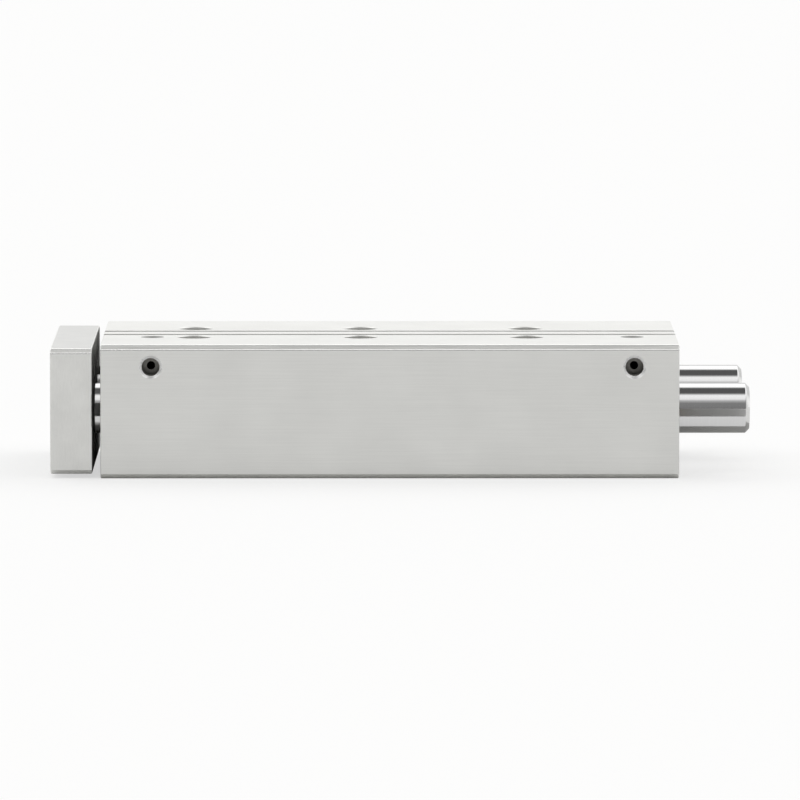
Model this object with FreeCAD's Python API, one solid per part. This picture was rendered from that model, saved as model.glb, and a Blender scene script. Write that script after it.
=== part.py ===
# Guided pneumatic cylinder: a bored aluminium housing, a piston in the middle bore, two guide rods
# beside it and a yoke plate that ties the three rods together. Millimetres.
# +X is the way the yoke plate extends, +Z is up, +Y is the side with the open air ports.
# The origin is the centre of the housing's underside. The pieces are drawn retracted.
import FreeCAD, Part
import math
import os

Vector = FreeCAD.Vector

# Driving sizes of the drive
STROKE = 100.0
BORE_D = 16.0
PISTON_ROD_D = 8.0
GUIDE_ROD_D = 12.0
BUSH_WALL = 2.0
WEB = 7.0  # metal between the piston bore and a guide bore, which carries the mounting holes
SIDE_WALL = 2.0  # from a guide bore to the long side
ROOF_WALL = 8.0  # from a guide bore to the top and to the underside

# Fits: radial clearances, and the axial gap left where a stop is reached
RUNNING_FIT = 0.03
SEAT_FIT = 0.02
LIP_FIT = 0.05
STOP_GAP = 0.15
SAME = 1e-6  # places closer together than this are the same place

# Housing
HOUSING_CHAMFER = 1.1
END_BREAK = 0.3
SLOT_OPENING = 2.8
SLOT_ROUND_D = 4.2
SLOT_DEPTH = 4.4
SLOT_LAND = 4.6  # metal left between the two sensor slots
MOUNT_HOLE_D = 4.3
MOUNT_PITCH = 40.0
MOUNT_FIRST = 22.0  # from the front face to the first pair
MOUNT_LAST = 30.0  # least distance from the last pair to the rear face
COUNTERBORE_D = 8.0
COUNTERBORE_DEPTH = 4.6
REAR_BOLT_D = 3.3
REAR_BOLT_DEPTH = 7.5
REAR_BOLT_SPACING_Y = 28.0
REAR_BOLT_SPACING_Z = 22.0

# Air ports, the same on the side and on the top
PORT_D = 4.3
PORT_DEPTH = 5.2
PORT_COUNTERSINK = 0.65
PORT_DROP = 5.3  # from the top face down to a side port's axis
GALLERY_D = 2.0
GALLERY_MARGIN = 0.2  # from a cap seat to the gallery's mouth in the bore
GALLERY_ANGLE = 60.0  # where a gallery enters the bore, in degrees above the bore's middle
PLUG_LENGTH = 4.0
PLUG_SINK = 0.8
PLUG_HEX = 2.5
PLUG_HEX_DEPTH = 2.0

# Cap seats at the two ends of the bore, and their retaining rings
SEAT_STEP = 2.0  # a seat is this much wider than the bore, on the radius
FRONT_SEAT_DEPTH = 10.8
REAR_SEAT_DEPTH = 9.5
RING_SETBACK = 1.2
RING_GROOVE_WIDTH = 1.1
RING_GROOVE_DEPTH = 0.5
RING_THICKNESS = 1.0
RING_BAND = 1.8
RING_GAP_ANGLE = 46.0
LUG_RADIUS = 1.45
LUG_HOLE_D = 1.3
LUG_INSET = 0.3
O_RING_CORD = 1.5
O_RING_GROOVE_WIDTH = 2.0
O_RING_SQUEEZE_FIT = 0.03
CAP_BREAK = 0.4

# Piston rod bearing and seal in the front cap
NOSE_WALL = 0.7
NOSE_GAP = 0.2  # from the nose to the plate, with the rods pulled in
NOSE_BREAK = 0.15
ROD_SEAL_SECTION = 1.2
ROD_SEAL_LENGTH = 4.2
ROD_SEAL_SINK = 0.3
ROD_BUSH_WALL = 0.9
ROD_BUSH_LENGTH = 5.0
ROD_RELIEF = 0.3

# Buffers, set into the inner faces of both caps
BUFFER_BAND = 1.8
BUFFER_THICKNESS = 2.0
BUFFER_PROUD = 0.8
BUFFER_OUTSIDE = 1.2  # from the buffer's rim to the bore

# Guide bushes and wipers
BUSH_LENGTH = 18.0
BUSH_BREAK = 0.4
WIPER_LENGTH = 3.0
WIPER_LIP = 0.7
WIPER_SINK = 0.2
REAR_BUSH_SINK = 0.6

# Piston
PISTON_LENGTH = 15.8
PISTON_PLAY = 0.2  # piston body to bore, on the radius
END_LAND = 1.2
END_LAND_STEP = 1.1
PISTON_SEAL_WIDTH = 2.6
PISTON_SEAL_SECTION = 2.2
PISTON_LIP = 0.6
SEAL_SHOULDER = 2.2
HUB_WALL = 2.3
MAGNET_RIM = 1.4  # from the magnet's rim to the bore
GUIDE_RING_SECTION = 1.1
GUIDE_RING_INSET = 0.3
SPIGOT_D = 4.0
SPIGOT_TAIL = 0.3
SHOULDER_SINK = 1.5
STATIC_SEAL_CORD = 1.1
NUT_ACROSS = 7.0
NUT_HEIGHT = 3.2
NUT_ROOM = 0.2

# Yoke plate and its screws
PLATE_GAP = 2.0
PLATE_THICKNESS = 10.0
PLATE_INSET = 1.0
PLATE_CHAMFER = 1.0
SOCKET_DEPTH = 2.0
LOAD_THREAD_D = 4.3
LOAD_SPACING_Z = 18.0
HEAD_SINK = 0.4
HEAD_ROOM = 0.35
SCREW_REACH = 9.0
TAP_EXTRA = 3.0
GUIDE_SCREW = {"shank": 4.2, "head": 8.5, "height": 5.0, "hex": 4.0, "hex_depth": 2.5}
ROD_SCREW = {"shank": 3.3, "head": 7.0, "height": 4.0, "hex": 3.0, "hex_depth": 2.0}
SHANK_ROOM = 0.3
HEAD_BREAK = 0.35

# Rods
ROD_OVERHANG = 17.0  # guide rods past the rear face
GUIDE_ROD_CHAMFER = 1.0
NECK_STEP = 0.5  # a guide rod narrows by this, on the radius, where it enters the plate
ROD_BREAK = 0.3

# Sizes that follow
CUT = 1.0  # how far cutting tools reach past a face
BORE_R = BORE_D / 2
ROD_R = PISTON_ROD_D / 2
GUIDE_R = GUIDE_ROD_D / 2
NECK_R = GUIDE_R - NECK_STEP
GUIDE_BORE_R = GUIDE_R + BUSH_WALL
GUIDE_Y = BORE_R + WEB + GUIDE_BORE_R
WIDTH = 2 * (GUIDE_Y + GUIDE_BORE_R + SIDE_WALL)
HEIGHT = 2 * (GUIDE_BORE_R + ROOF_WALL)
AXIS_Z = HEIGHT / 2
MOUNT_Y = BORE_R + WEB / 2
CHAMBER = STROKE + PISTON_LENGTH + 2 * (BUFFER_PROUD + STOP_GAP)
LENGTH = FRONT_SEAT_DEPTH + CHAMBER + REAR_SEAT_DEPTH
FRONT_X = LENGTH / 2
REAR_X = -LENGTH / 2
FRONT_SEAT_X = FRONT_X - FRONT_SEAT_DEPTH
REAR_SEAT_X = REAR_X + REAR_SEAT_DEPTH
FRONT_PORT_X = FRONT_SEAT_X - GALLERY_D / 2 - GALLERY_MARGIN
REAR_PORT_X = REAR_SEAT_X + GALLERY_D / 2 + GALLERY_MARGIN
PORT_Z = HEIGHT - PORT_DROP
SEAT_R = BORE_R + SEAT_STEP
RING_GROOVE_R = SEAT_R + RING_GROOVE_DEPTH
CAP_R = SEAT_R - SEAT_FIT
CAP_SETBACK = RING_SETBACK + RING_GROOVE_WIDTH
BUFFER_R = BORE_R - BUFFER_OUTSIDE
BUFFER_HOLE_R = BUFFER_R - BUFFER_BAND
SLOT_Y = (SLOT_LAND + SLOT_ROUND_D) / 2
PLATE_IN = FRONT_X + PLATE_GAP
PLATE_OUT = PLATE_IN + PLATE_THICKNESS
NOSE_TIP = PLATE_IN - NOSE_GAP
ROD_END = PLATE_IN + SOCKET_DEPTH
PISTON_X = REAR_SEAT_X + BUFFER_PROUD + STOP_GAP  # the piston's rear face
PISTON_R = BORE_R - PISTON_PLAY
SEAL_FLOOR_R = BORE_R - PISTON_SEAL_SECTION
HUB_R = SPIGOT_D / 2 + HUB_WALL
RING_ROOM = PISTON_LENGTH - 2 * (END_LAND + PISTON_SEAL_WIDTH + SEAL_SHOULDER)
JOINT_U = END_LAND + PISTON_SEAL_WIDTH + SEAL_SHOULDER  # from the piston's rear face to the magnet
SHOULDER_U = PISTON_LENGTH - SHOULDER_SINK  # to the rod's shoulder


# Building blocks
def turned(profile, y=0.0):
    """A solid turned about the line at y, AXIS_Z along X, from (x, radius) corners."""
    corners = [Vector(x, y, AXIS_Z + radius) for x, radius in profile]
    face = Part.Face(Part.makePolygon(corners + corners[:1]))
    return face.revolve(Vector(0, y, AXIS_Z), Vector(1, 0, 0), 360)


def tube(inner, outer, x0, x1, y=0.0, rim=0.0):
    """A tube along X whose outer rims are broken by rim."""
    return turned([(x0, inner), (x1, inner), (x1, outer - rim), (x1 - rim, outer),
                   (x0 + rim, outer), (x0, outer - rim)], y)


def bar(radius, start, direction, length):
    """A plain round bar from start."""
    return Part.makeCylinder(radius, length, start, direction)


def hex_bar(across, start, direction, length):
    """A hexagonal bar from start, by its size across flats."""
    radius = across / math.sqrt(3)
    corners = [Vector(radius * math.cos(math.radians(60 * k)), radius * math.sin(math.radians(60 * k)), 0)
               for k in range(6)]
    prism = Part.Face(Part.makePolygon(corners + corners[:1])).extrude(Vector(0, 0, length))
    prism.Placement = FreeCAD.Placement(start, FreeCAD.Rotation(Vector(0, 0, 1), direction))
    return prism


def profile_block(x0, x1, width, height, chamfer):
    """A length of rectangular profile about the bore's axis, long edges chamfered, end edges broken."""
    half, up = width / 2, height / 2
    corners = [(half - chamfer, up), (half, up - chamfer), (half, chamfer - up), (half - chamfer, -up),
               (chamfer - half, -up), (-half, chamfer - up), (-half, up - chamfer), (chamfer - half, up)]
    points = [Vector(x0, y, AXIS_Z + z) for y, z in corners]
    block = Part.Face(Part.makePolygon(points + points[:1])).extrude(Vector(x1 - x0, 0, 0))
    end_edges = [e for e in block.Edges if abs(e.Vertexes[0].X - e.Vertexes[1].X) < SAME]
    return block.makeChamfer(END_BREAK, end_edges)


def countersunk_hole(radius, mouth, inward, depth, flare):
    """A tool for a blind hole with a 45 degree countersink at its mouth."""
    drill = bar(radius, mouth - inward * CUT, inward, depth + CUT)
    cone = Part.makeCone(radius + flare + CUT, radius, flare + CUT, mouth - inward * CUT, inward)
    return drill.fuse(cone)


def cap_screw(size, reach, top, inward):
    """A hexagon socket screw whose head's top is at top."""
    head = bar(size["head"] / 2, top, inward, size["height"])
    rim = [e for e in head.Edges if e.Closed and (e.CenterOfMass - top).Length < SAME]
    head = head.makeChamfer(HEAD_BREAK, rim)
    shank = bar(size["shank"] / 2 - SEAT_FIT, top, inward, size["height"] + reach)
    return head.fuse(shank).removeSplitter().cut(hex_bar(size["hex"], top, inward, size["hex_depth"]))


# Housing
def sensor_slot(y):
    """A tool for one sensor slot: a round channel with a narrower mouth in the top face."""
    radius, half = SLOT_ROUND_D / 2, SLOT_OPENING / 2
    middle = HEIGHT - SLOT_DEPTH + radius
    neck = middle + math.sqrt(radius ** 2 - half ** 2)
    x = REAR_X - CUT

    def at(dy, z):
        return Vector(x, y + dy, z)

    over = HEIGHT + CUT
    mouth = Part.makePolygon([at(-half, neck), at(-half, over), at(half, over), at(half, neck)])
    round_end = Part.Arc(at(half, neck), at(0, middle - radius), at(-half, neck)).toShape()
    return Part.Face(Part.Wire(mouth.Edges + [round_end])).extrude(Vector(LENGTH + 2 * CUT, 0, 0))


def cap_seat(face, inward, depth):
    """A tool for a cap seat with its retaining ring groove, cut from an end face."""
    groove = face + inward * RING_SETBACK
    lead = face + inward * CAP_BREAK
    seat = turned([(face - inward * CUT, 0), (face - inward * CUT, SEAT_R + CAP_BREAK),
                   (face, SEAT_R + CAP_BREAK), (lead, SEAT_R), (groove, SEAT_R), (groove, RING_GROOVE_R),
                   (groove + inward * RING_GROOVE_WIDTH, RING_GROOVE_R),
                   (groove + inward * RING_GROOVE_WIDTH, SEAT_R),
                   (face + inward * depth, SEAT_R), (face + inward * depth, 0)])
    return seat


def air_port(x):
    """A tool for one side port, the plugged port above it and the slanting gallery into the bore."""
    side_mouth = Vector(x, WIDTH / 2, PORT_Z)
    side = countersunk_hole(PORT_D / 2, side_mouth, Vector(0, -1, 0), PORT_DEPTH, PORT_COUNTERSINK)
    angle = math.radians(GALLERY_ANGLE)
    start = Vector(x, WIDTH / 2 - PORT_DEPTH, PORT_Z)
    wall = Vector(x, BORE_R * math.cos(angle), AXIS_Z + BORE_R * math.sin(angle))
    into = (wall - start).normalize()
    gallery = bar(GALLERY_D / 2, start, into, (wall - start).Length + GALLERY_D / 2)
    top_mouth = Vector(x, MOUNT_Y, HEIGHT)
    top = countersunk_hole(PORT_D / 2, top_mouth, Vector(0, 0, -1), PORT_DEPTH, PORT_COUNTERSINK)
    meet_z = start.z + (MOUNT_Y - start.y) / into.y * into.z
    drop = bar(GALLERY_D / 2, Vector(x, MOUNT_Y, meet_z), Vector(0, 0, 1), HEIGHT - meet_z)
    return [side, gallery, top, drop]


def mounting_places():
    """X of each pair of through holes, as many pairs as the length takes."""
    pairs = int((LENGTH - MOUNT_FIRST - MOUNT_LAST) / MOUNT_PITCH) + 1
    return [FRONT_X - MOUNT_FIRST - MOUNT_PITCH * k for k in range(pairs)]


def mounting_hole(x, y):
    """A tool for one through hole, counterbored from the top."""
    through = bar(MOUNT_HOLE_D / 2, Vector(x, y, -CUT), Vector(0, 0, 1), HEIGHT + 2 * CUT)
    head = bar(COUNTERBORE_D / 2, Vector(x, y, HEIGHT - COUNTERBORE_DEPTH), Vector(0, 0, 1),
               COUNTERBORE_DEPTH + CUT)
    return through.fuse(head)


def rear_thread(y, z):
    """A tool for one threaded hole in the rear face."""
    return bar(REAR_BOLT_D / 2, Vector(REAR_X - CUT, y, AXIS_Z + z), Vector(1, 0, 0), REAR_BOLT_DEPTH + CUT)


def housing():
    """The bored profile that carries everything."""
    block = profile_block(REAR_X, FRONT_X, WIDTH, HEIGHT, HOUSING_CHAMFER)
    tools = [bar(BORE_R, Vector(REAR_X - CUT, 0, AXIS_Z), Vector(1, 0, 0), LENGTH + 2 * CUT),
             cap_seat(FRONT_X, -1, FRONT_SEAT_DEPTH), cap_seat(REAR_X, 1, REAR_SEAT_DEPTH)]
    for side in (-1, 1):
        y = side * GUIDE_Y
        tools.append(bar(GUIDE_BORE_R, Vector(REAR_X - CUT, y, AXIS_Z), Vector(1, 0, 0), LENGTH + 2 * CUT))
        tools.append(sensor_slot(side * SLOT_Y))
        tools += [mounting_hole(x, side * MOUNT_Y) for x in mounting_places()]
        rear_y = side * REAR_BOLT_SPACING_Y / 2
        tools += [rear_thread(rear_y, up * REAR_BOLT_SPACING_Z / 2) for up in (-1, 1)]
    tools += air_port(FRONT_PORT_X) + air_port(REAR_PORT_X)
    return block.cut(tools).removeSplitter()


# Pieces fixed in the housing
def retaining_ring(face, inward):
    """An internal retaining ring with two plier lugs, its gap at the bottom."""
    slack = (RING_GROOVE_WIDTH - RING_THICKNESS) / 2
    middle = face + inward * (RING_SETBACK + slack + RING_THICKNESS / 2)
    x0 = middle - RING_THICKNESS / 2
    outer = RING_GROOVE_R - SEAT_FIT
    ring = tube(outer - RING_BAND, outer, x0, x0 + RING_THICKNESS)
    half_gap = math.radians(RING_GAP_ANGLE / 2)
    reach = outer / math.cos(half_gap) + CUT
    wedge = [Vector(x0, 0, AXIS_Z),
             Vector(x0, reach * math.sin(half_gap), AXIS_Z - reach * math.cos(half_gap)),
             Vector(x0, -reach * math.sin(half_gap), AXIS_Z - reach * math.cos(half_gap))]
    ring = ring.cut(Part.Face(Part.makePolygon(wedge + wedge[:1])).extrude(Vector(RING_THICKNESS, 0, 0)))
    lug_r = outer - LUG_INSET - LUG_RADIUS
    for side in (-1, 1):
        place = Vector(x0, side * lug_r * math.sin(half_gap), AXIS_Z - lug_r * math.cos(half_gap))
        ring = ring.fuse(bar(LUG_RADIUS, place, Vector(1, 0, 0), RING_THICKNESS))
        ring = ring.cut(bar(LUG_HOLE_D / 2, place, Vector(1, 0, 0), RING_THICKNESS))
    return ring.removeSplitter()


def o_ring(x):
    """A cap's static seal, centred at x."""
    cord = O_RING_CORD / 2
    return Part.makeTorus(SEAT_R - O_RING_SQUEEZE_FIT - cord, cord, Vector(x, 0, AXIS_Z), Vector(1, 0, 0))


def cap_body(inner, outer):
    """A cap's turned body from its inner face to its outer face, with seal groove and buffer recess."""
    way = 1 if outer > inner else -1
    middle = (inner + outer) / 2
    floor = SEAT_R - O_RING_CORD - 2 * O_RING_SQUEEZE_FIT
    half = O_RING_GROOVE_WIDTH / 2
    recess = inner + way * (BUFFER_THICKNESS - BUFFER_PROUD)
    return [(inner, BUFFER_HOLE_R - SEAT_FIT), (recess, BUFFER_HOLE_R - SEAT_FIT),
            (recess, BUFFER_R + SEAT_FIT), (inner, BUFFER_R + SEAT_FIT), (inner, CAP_R - CAP_BREAK),
            (inner + way * CAP_BREAK, CAP_R), (middle - way * half, CAP_R), (middle - way * half, floor),
            (middle + way * half, floor), (middle + way * half, CAP_R), (outer - way * CAP_BREAK, CAP_R),
            (outer, CAP_R - CAP_BREAK)]


def rod_bush_span():
    """X of the two ends of the piston rod's bush, which stops against the seal's floor."""
    end = NOSE_TIP - ROD_SEAL_SINK - ROD_SEAL_LENGTH
    return end - ROD_BUSH_LENGTH, end


def front_bearing_cap():
    """The front cap: its nose holds the rod seal, its middle holds the rod bush."""
    bush_start, bush_end = rod_bush_span()
    outer = FRONT_X - CAP_SETBACK
    seal_r = ROD_R + ROD_SEAL_SECTION
    nose_r = seal_r + NOSE_WALL
    bush_r = ROD_R + ROD_BUSH_WALL
    front = [(outer, nose_r), (NOSE_TIP - NOSE_BREAK, nose_r), (NOSE_TIP, nose_r - NOSE_BREAK), (NOSE_TIP, seal_r),
             (bush_end, seal_r), (bush_end, bush_r), (bush_start, bush_r),
             (bush_start, ROD_R + ROD_RELIEF), (FRONT_SEAT_X, ROD_R + ROD_RELIEF)]
    return turned(cap_body(FRONT_SEAT_X, outer) + front)


def rod_bush():
    """The piston rod's plain bearing."""
    start, end = rod_bush_span()
    return tube(ROD_R + RUNNING_FIT, ROD_R + ROD_BUSH_WALL - SEAT_FIT, start, end)


def rod_seal():
    """The piston rod's seal, a wiper lip outside and a sealing lip inside."""
    start = rod_bush_span()[1]
    end = start + ROD_SEAL_LENGTH
    outer = ROD_R + ROD_SEAL_SECTION - SEAT_FIT
    lip = ROD_R + LIP_FIT
    waist = ROD_R + ROD_SEAL_SECTION / 2
    step = ROD_SEAL_LENGTH / 6
    return turned([(start, outer), (end, outer), (end, lip), (end - step / 2, lip), (end - 2 * step, waist),
                   (start + 2 * step, waist), (start + step, lip), (start, lip + step / 2)])


def buffer_ring(face, way):
    """An elastic stop set into a cap's inner face; way points out of the bore."""
    x0 = face - way * BUFFER_PROUD
    x1 = x0 + way * BUFFER_THICKNESS
    return tube(BUFFER_HOLE_R, BUFFER_R, min(x0, x1), max(x0, x1))


def rear_end_cap():
    """The rear cap: a disc, dished outside."""
    outer = REAR_X + CAP_SETBACK
    dish_r = CAP_R - RING_BAND - LUG_RADIUS
    dish = CAP_BREAK * 2
    centre = [(outer, dish_r), (outer + dish, dish_r - dish), (outer + dish, 0), (REAR_SEAT_X, 0)]
    return turned(cap_body(REAR_SEAT_X, outer) + centre)


def guide_bush(x0, side):
    """A guide rod's plain bearing, pressed into the housing from x0."""
    inner, outer = GUIDE_R + RUNNING_FIT, GUIDE_BORE_R - SEAT_FIT
    return tube(inner, outer, x0, x0 + BUSH_LENGTH, side * GUIDE_Y, BUSH_BREAK)


def guide_wiper(side):
    """The ring that wipes a guide rod where it enters the housing."""
    start = FRONT_X - WIPER_SINK - WIPER_LENGTH
    end = FRONT_X - WIPER_SINK
    outer = GUIDE_BORE_R - SEAT_FIT
    lip = GUIDE_R + LIP_FIT
    root = GUIDE_R + BUSH_WALL / 2
    return turned([(start, outer), (start, root), (end - 2 * WIPER_LIP, root), (end - WIPER_LIP, lip),
                   (end, lip), (end, root), (end - WIPER_LIP / 2, root + WIPER_LIP / 2), (end, outer)],
                  side * GUIDE_Y)


def port_plug(x):
    """The screw that closes a top port."""
    top = Vector(x, MOUNT_Y, HEIGHT - PLUG_SINK)
    down = Vector(0, 0, -1)
    plug = bar(PORT_D / 2 - SEAT_FIT, top, down, PLUG_LENGTH)
    rims = [e for e in plug.Edges if e.Closed]
    return plug.makeChamfer(HEAD_BREAK, rims).cut(hex_bar(PLUG_HEX, top, down, PLUG_HEX_DEPTH))


# Pieces that move with the yoke plate
def head_bore(size, y):
    """A tool for a screw's head and shank through the plate."""
    inward = Vector(-1, 0, 0)
    face = Vector(PLATE_OUT, y, AXIS_Z)
    head = bar(size["head"] / 2 + HEAD_ROOM, face - inward * CUT, inward, CUT + HEAD_SINK + size["height"])
    return [head, bar(size["shank"] / 2 + SHANK_ROOM, face, inward, PLATE_THICKNESS)]


def rod_socket(radius, y):
    """A tool for the shallow socket that locates a rod in the plate's inner face."""
    return bar(radius + SEAT_FIT, Vector(PLATE_IN - CUT, y, AXIS_Z), Vector(1, 0, 0), SOCKET_DEPTH + CUT)


def yoke_plate():
    """The plate that joins the rods and takes the load."""
    width, height = WIDTH - 2 * PLATE_INSET, HEIGHT - 2 * PLATE_INSET
    plate = profile_block(PLATE_IN, PLATE_OUT, width, height, PLATE_CHAMFER)
    tools = head_bore(ROD_SCREW, 0.0) + [rod_socket(ROD_R, 0.0)]
    for side in (-1, 1):
        tools += head_bore(GUIDE_SCREW, side * GUIDE_Y) + [rod_socket(NECK_R, side * GUIDE_Y)]
        for up in (-1, 1):
            place = Vector(PLATE_IN - CUT, side * MOUNT_Y, AXIS_Z + up * LOAD_SPACING_Z / 2)
            tools.append(bar(LOAD_THREAD_D / 2, place, Vector(1, 0, 0), PLATE_THICKNESS + 2 * CUT))
    return plate.cut(tools).removeSplitter()


def tapped(rod, size, y):
    """A rod with the core hole for its screw in its front end."""
    depth = SCREW_REACH + TAP_EXTRA
    return rod.cut(bar(size["shank"] / 2, Vector(ROD_END, y, AXIS_Z), Vector(-1, 0, 0), depth))


def guide_rod(side):
    """A guide rod from the neck in its socket to its overhang at the rear."""
    tail = REAR_X - ROD_OVERHANG
    rod = turned([(tail, 0), (tail, GUIDE_R - GUIDE_ROD_CHAMFER), (tail + GUIDE_ROD_CHAMFER, GUIDE_R),
                  (PLATE_IN - NECK_STEP, GUIDE_R), (PLATE_IN, NECK_R), (ROD_END - ROD_BREAK, NECK_R),
                  (ROD_END, NECK_R - ROD_BREAK), (ROD_END, 0)], side * GUIDE_Y)
    return tapped(rod, GUIDE_SCREW, side * GUIDE_Y)


def piston_rod():
    """The piston rod, stepped down to a spigot that carries the piston."""
    shoulder = PISTON_X + SHOULDER_U
    spigot_r = SPIGOT_D / 2
    tail = PISTON_X + SPIGOT_TAIL
    rod = turned([(tail, 0), (tail, spigot_r - ROD_BREAK), (tail + ROD_BREAK, spigot_r),
                  (shoulder, spigot_r), (shoulder, ROD_R), (ROD_END - ROD_BREAK, ROD_R),
                  (ROD_END, ROD_R - ROD_BREAK), (ROD_END, 0)])
    return tapped(rod, ROD_SCREW, 0.0)


def plate_screw(size, y):
    """A screw through the plate into a rod; its head lies just below the plate's face."""
    web = PLATE_THICKNESS - SOCKET_DEPTH - HEAD_SINK - size["height"]
    return cap_screw(size, web + SCREW_REACH, Vector(PLATE_OUT - HEAD_SINK, y, AXIS_Z), Vector(-1, 0, 0))


def static_seal_room():
    """Length and radius of the pocket for the seal under the rod's shoulder."""
    return STATIC_SEAL_CORD, SPIGOT_D / 2 + STATIC_SEAL_CORD


def piston_rear_half():
    """The rear half of the piston: nut recess, seal groove and the hub under the magnet."""
    nut_r = NUT_ACROSS / math.sqrt(3) + NUT_ROOM
    nut_floor = PISTON_X + SPIGOT_TAIL + NUT_HEIGHT
    bore = SPIGOT_D / 2 + SEAT_FIT
    land = PISTON_R - END_LAND_STEP
    seal_start, seal_end = PISTON_X + END_LAND, PISTON_X + END_LAND + PISTON_SEAL_WIDTH
    joint = PISTON_X + JOINT_U
    hub_end = joint + RING_ROOM
    return turned([(PISTON_X, nut_r), (PISTON_X, land), (seal_start, land), (seal_start, SEAL_FLOOR_R),
                   (seal_end, SEAL_FLOOR_R), (seal_end, PISTON_R), (joint, PISTON_R), (joint, HUB_R),
                   (hub_end, HUB_R), (hub_end, bore), (nut_floor, bore), (nut_floor, nut_r)])


def piston_front_half():
    """The front half of the piston: seal groove, and the pocket for the rod's shoulder."""
    length, pocket_r = static_seal_room()
    bore = SPIGOT_D / 2 + SEAT_FIT
    land = PISTON_R - END_LAND_STEP
    front = PISTON_X + PISTON_LENGTH
    seal_start = front - END_LAND - PISTON_SEAL_WIDTH
    joint = PISTON_X + JOINT_U + RING_ROOM
    shoulder = PISTON_X + SHOULDER_U
    return turned([(joint, bore), (joint, PISTON_R), (seal_start, PISTON_R), (seal_start, SEAL_FLOOR_R),
                   (front - END_LAND, SEAL_FLOOR_R), (front - END_LAND, land), (front, land),
                   (front, ROD_R + SEAT_FIT), (shoulder, ROD_R + SEAT_FIT), (shoulder, pocket_r),
                   (shoulder - length, pocket_r), (shoulder - length, bore)])


def piston_seal(end, inward):
    """A lip seal in its groove; its open side faces the piston's end, inward points to the middle."""
    start = end + inward * (END_LAND + SEAT_FIT)
    stop = end + inward * (END_LAND + PISTON_SEAL_WIDTH - SEAT_FIT)
    floor, rim = SEAL_FLOOR_R + SEAT_FIT, BORE_R - LIP_FIT
    heel = PISTON_R - PISTON_PLAY
    cleft = start + inward * PISTON_SEAL_WIDTH / 2
    middle = (floor + rim) / 2
    return turned([(stop, floor), (start, floor), (start, floor + PISTON_LIP), (cleft, middle),
                   (start, rim - PISTON_LIP), (start, rim), (start + inward * PISTON_LIP, rim),
                   (stop, heel)])


def piston_magnet():
    """The ring that the sensors read, on the rear half's hub."""
    x0 = PISTON_X + JOINT_U
    return tube(HUB_R + SEAT_FIT, BORE_R - MAGNET_RIM, x0 + SEAT_FIT, x0 + RING_ROOM - SEAT_FIT)


def piston_guide_ring():
    """The wear ring around the magnet."""
    x0 = PISTON_X + JOINT_U + GUIDE_RING_INSET
    outer = BORE_R - LIP_FIT
    return tube(outer - GUIDE_RING_SECTION, outer, x0, x0 + RING_ROOM - 2 * GUIDE_RING_INSET)


def piston_nut():
    """The nut that clamps both piston halves on the spigot."""
    start = Vector(PISTON_X + SPIGOT_TAIL, 0, AXIS_Z)
    along = Vector(1, 0, 0)
    nut = hex_bar(NUT_ACROSS, start, along, NUT_HEIGHT)
    return nut.cut(bar(SPIGOT_D / 2 + SEAT_FIT, start, along, NUT_HEIGHT))


def piston_static_seal():
    """The small ring that seals the piston on the rod's spigot."""
    cord = STATIC_SEAL_CORD / 2 - SEAT_FIT
    x = PISTON_X + SHOULDER_U - STATIC_SEAL_CORD / 2
    return Part.makeTorus(SPIGOT_D / 2 + STATIC_SEAL_CORD / 2, cord, Vector(x, 0, AXIS_Z), Vector(1, 0, 0))


def sides():
    """The two sides and their names; the left guide is on the port side."""
    return (("left", 1), ("right", -1))


def fixed_pieces():
    """Every piece of the housing's body, by name."""
    front_outer, rear_outer = FRONT_X - CAP_SETBACK, REAR_X + CAP_SETBACK
    pieces = {
        "housing": housing(),
        "front_bearing_cap": front_bearing_cap(),
        "front_retaining_ring": retaining_ring(FRONT_X, -1),
        "front_cap_o_ring": o_ring((FRONT_SEAT_X + front_outer) / 2),
        "front_buffer": buffer_ring(FRONT_SEAT_X, 1),
        "rod_bush": rod_bush(),
        "rod_seal": rod_seal(),
        "rear_end_cap": rear_end_cap(),
        "rear_retaining_ring": retaining_ring(REAR_X, 1),
        "rear_cap_o_ring": o_ring((REAR_SEAT_X + rear_outer) / 2),
        "rear_buffer": buffer_ring(REAR_SEAT_X, -1),
        "port_plug_front": port_plug(FRONT_PORT_X),
        "port_plug_rear": port_plug(REAR_PORT_X),
    }
    front_bush_x = FRONT_X - WIPER_SINK - WIPER_LENGTH - BUSH_LENGTH
    for name, side in sides():
        pieces["guide_wiper_" + name] = guide_wiper(side)
        pieces["guide_bush_front_" + name] = guide_bush(front_bush_x, side)
        pieces["guide_bush_rear_" + name] = guide_bush(REAR_X + REAR_BUSH_SINK, side)
    return pieces


def moving_pieces():
    """Every piece of the carriage's body, by name."""
    guide_screws = [plate_screw(GUIDE_SCREW, side * GUIDE_Y) for _, side in sides()]
    pieces = {
        "yoke_plate": yoke_plate(),
        "piston_rod": piston_rod(),
        "guide_rod_screws": Part.makeCompound(guide_screws),
        "piston_rod_screw": plate_screw(ROD_SCREW, 0.0),
        "piston_rear_half": piston_rear_half(),
        "piston_front_half": piston_front_half(),
        "piston_seal_rear": piston_seal(PISTON_X, 1),
        "piston_seal_front": piston_seal(PISTON_X + PISTON_LENGTH, -1),
        "piston_magnet": piston_magnet(),
        "piston_guide_ring": piston_guide_ring(),
        "piston_nut": piston_nut(),
        "piston_static_seal": piston_static_seal(),
    }
    for name, side in sides():
        pieces["guide_rod_" + name] = guide_rod(side)
    return pieces


def main():
    """Builds every piece and writes one STEP file each."""
    os.makedirs("parts", exist_ok=True)
    for name, shape in {**fixed_pieces(), **moving_pieces()}.items():
        if not shape.isValid() or not shape.Solids:
            raise ValueError(name + " is not a sound solid")
        shape.exportStep(os.path.join("parts", name + ".step"))


main()
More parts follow.
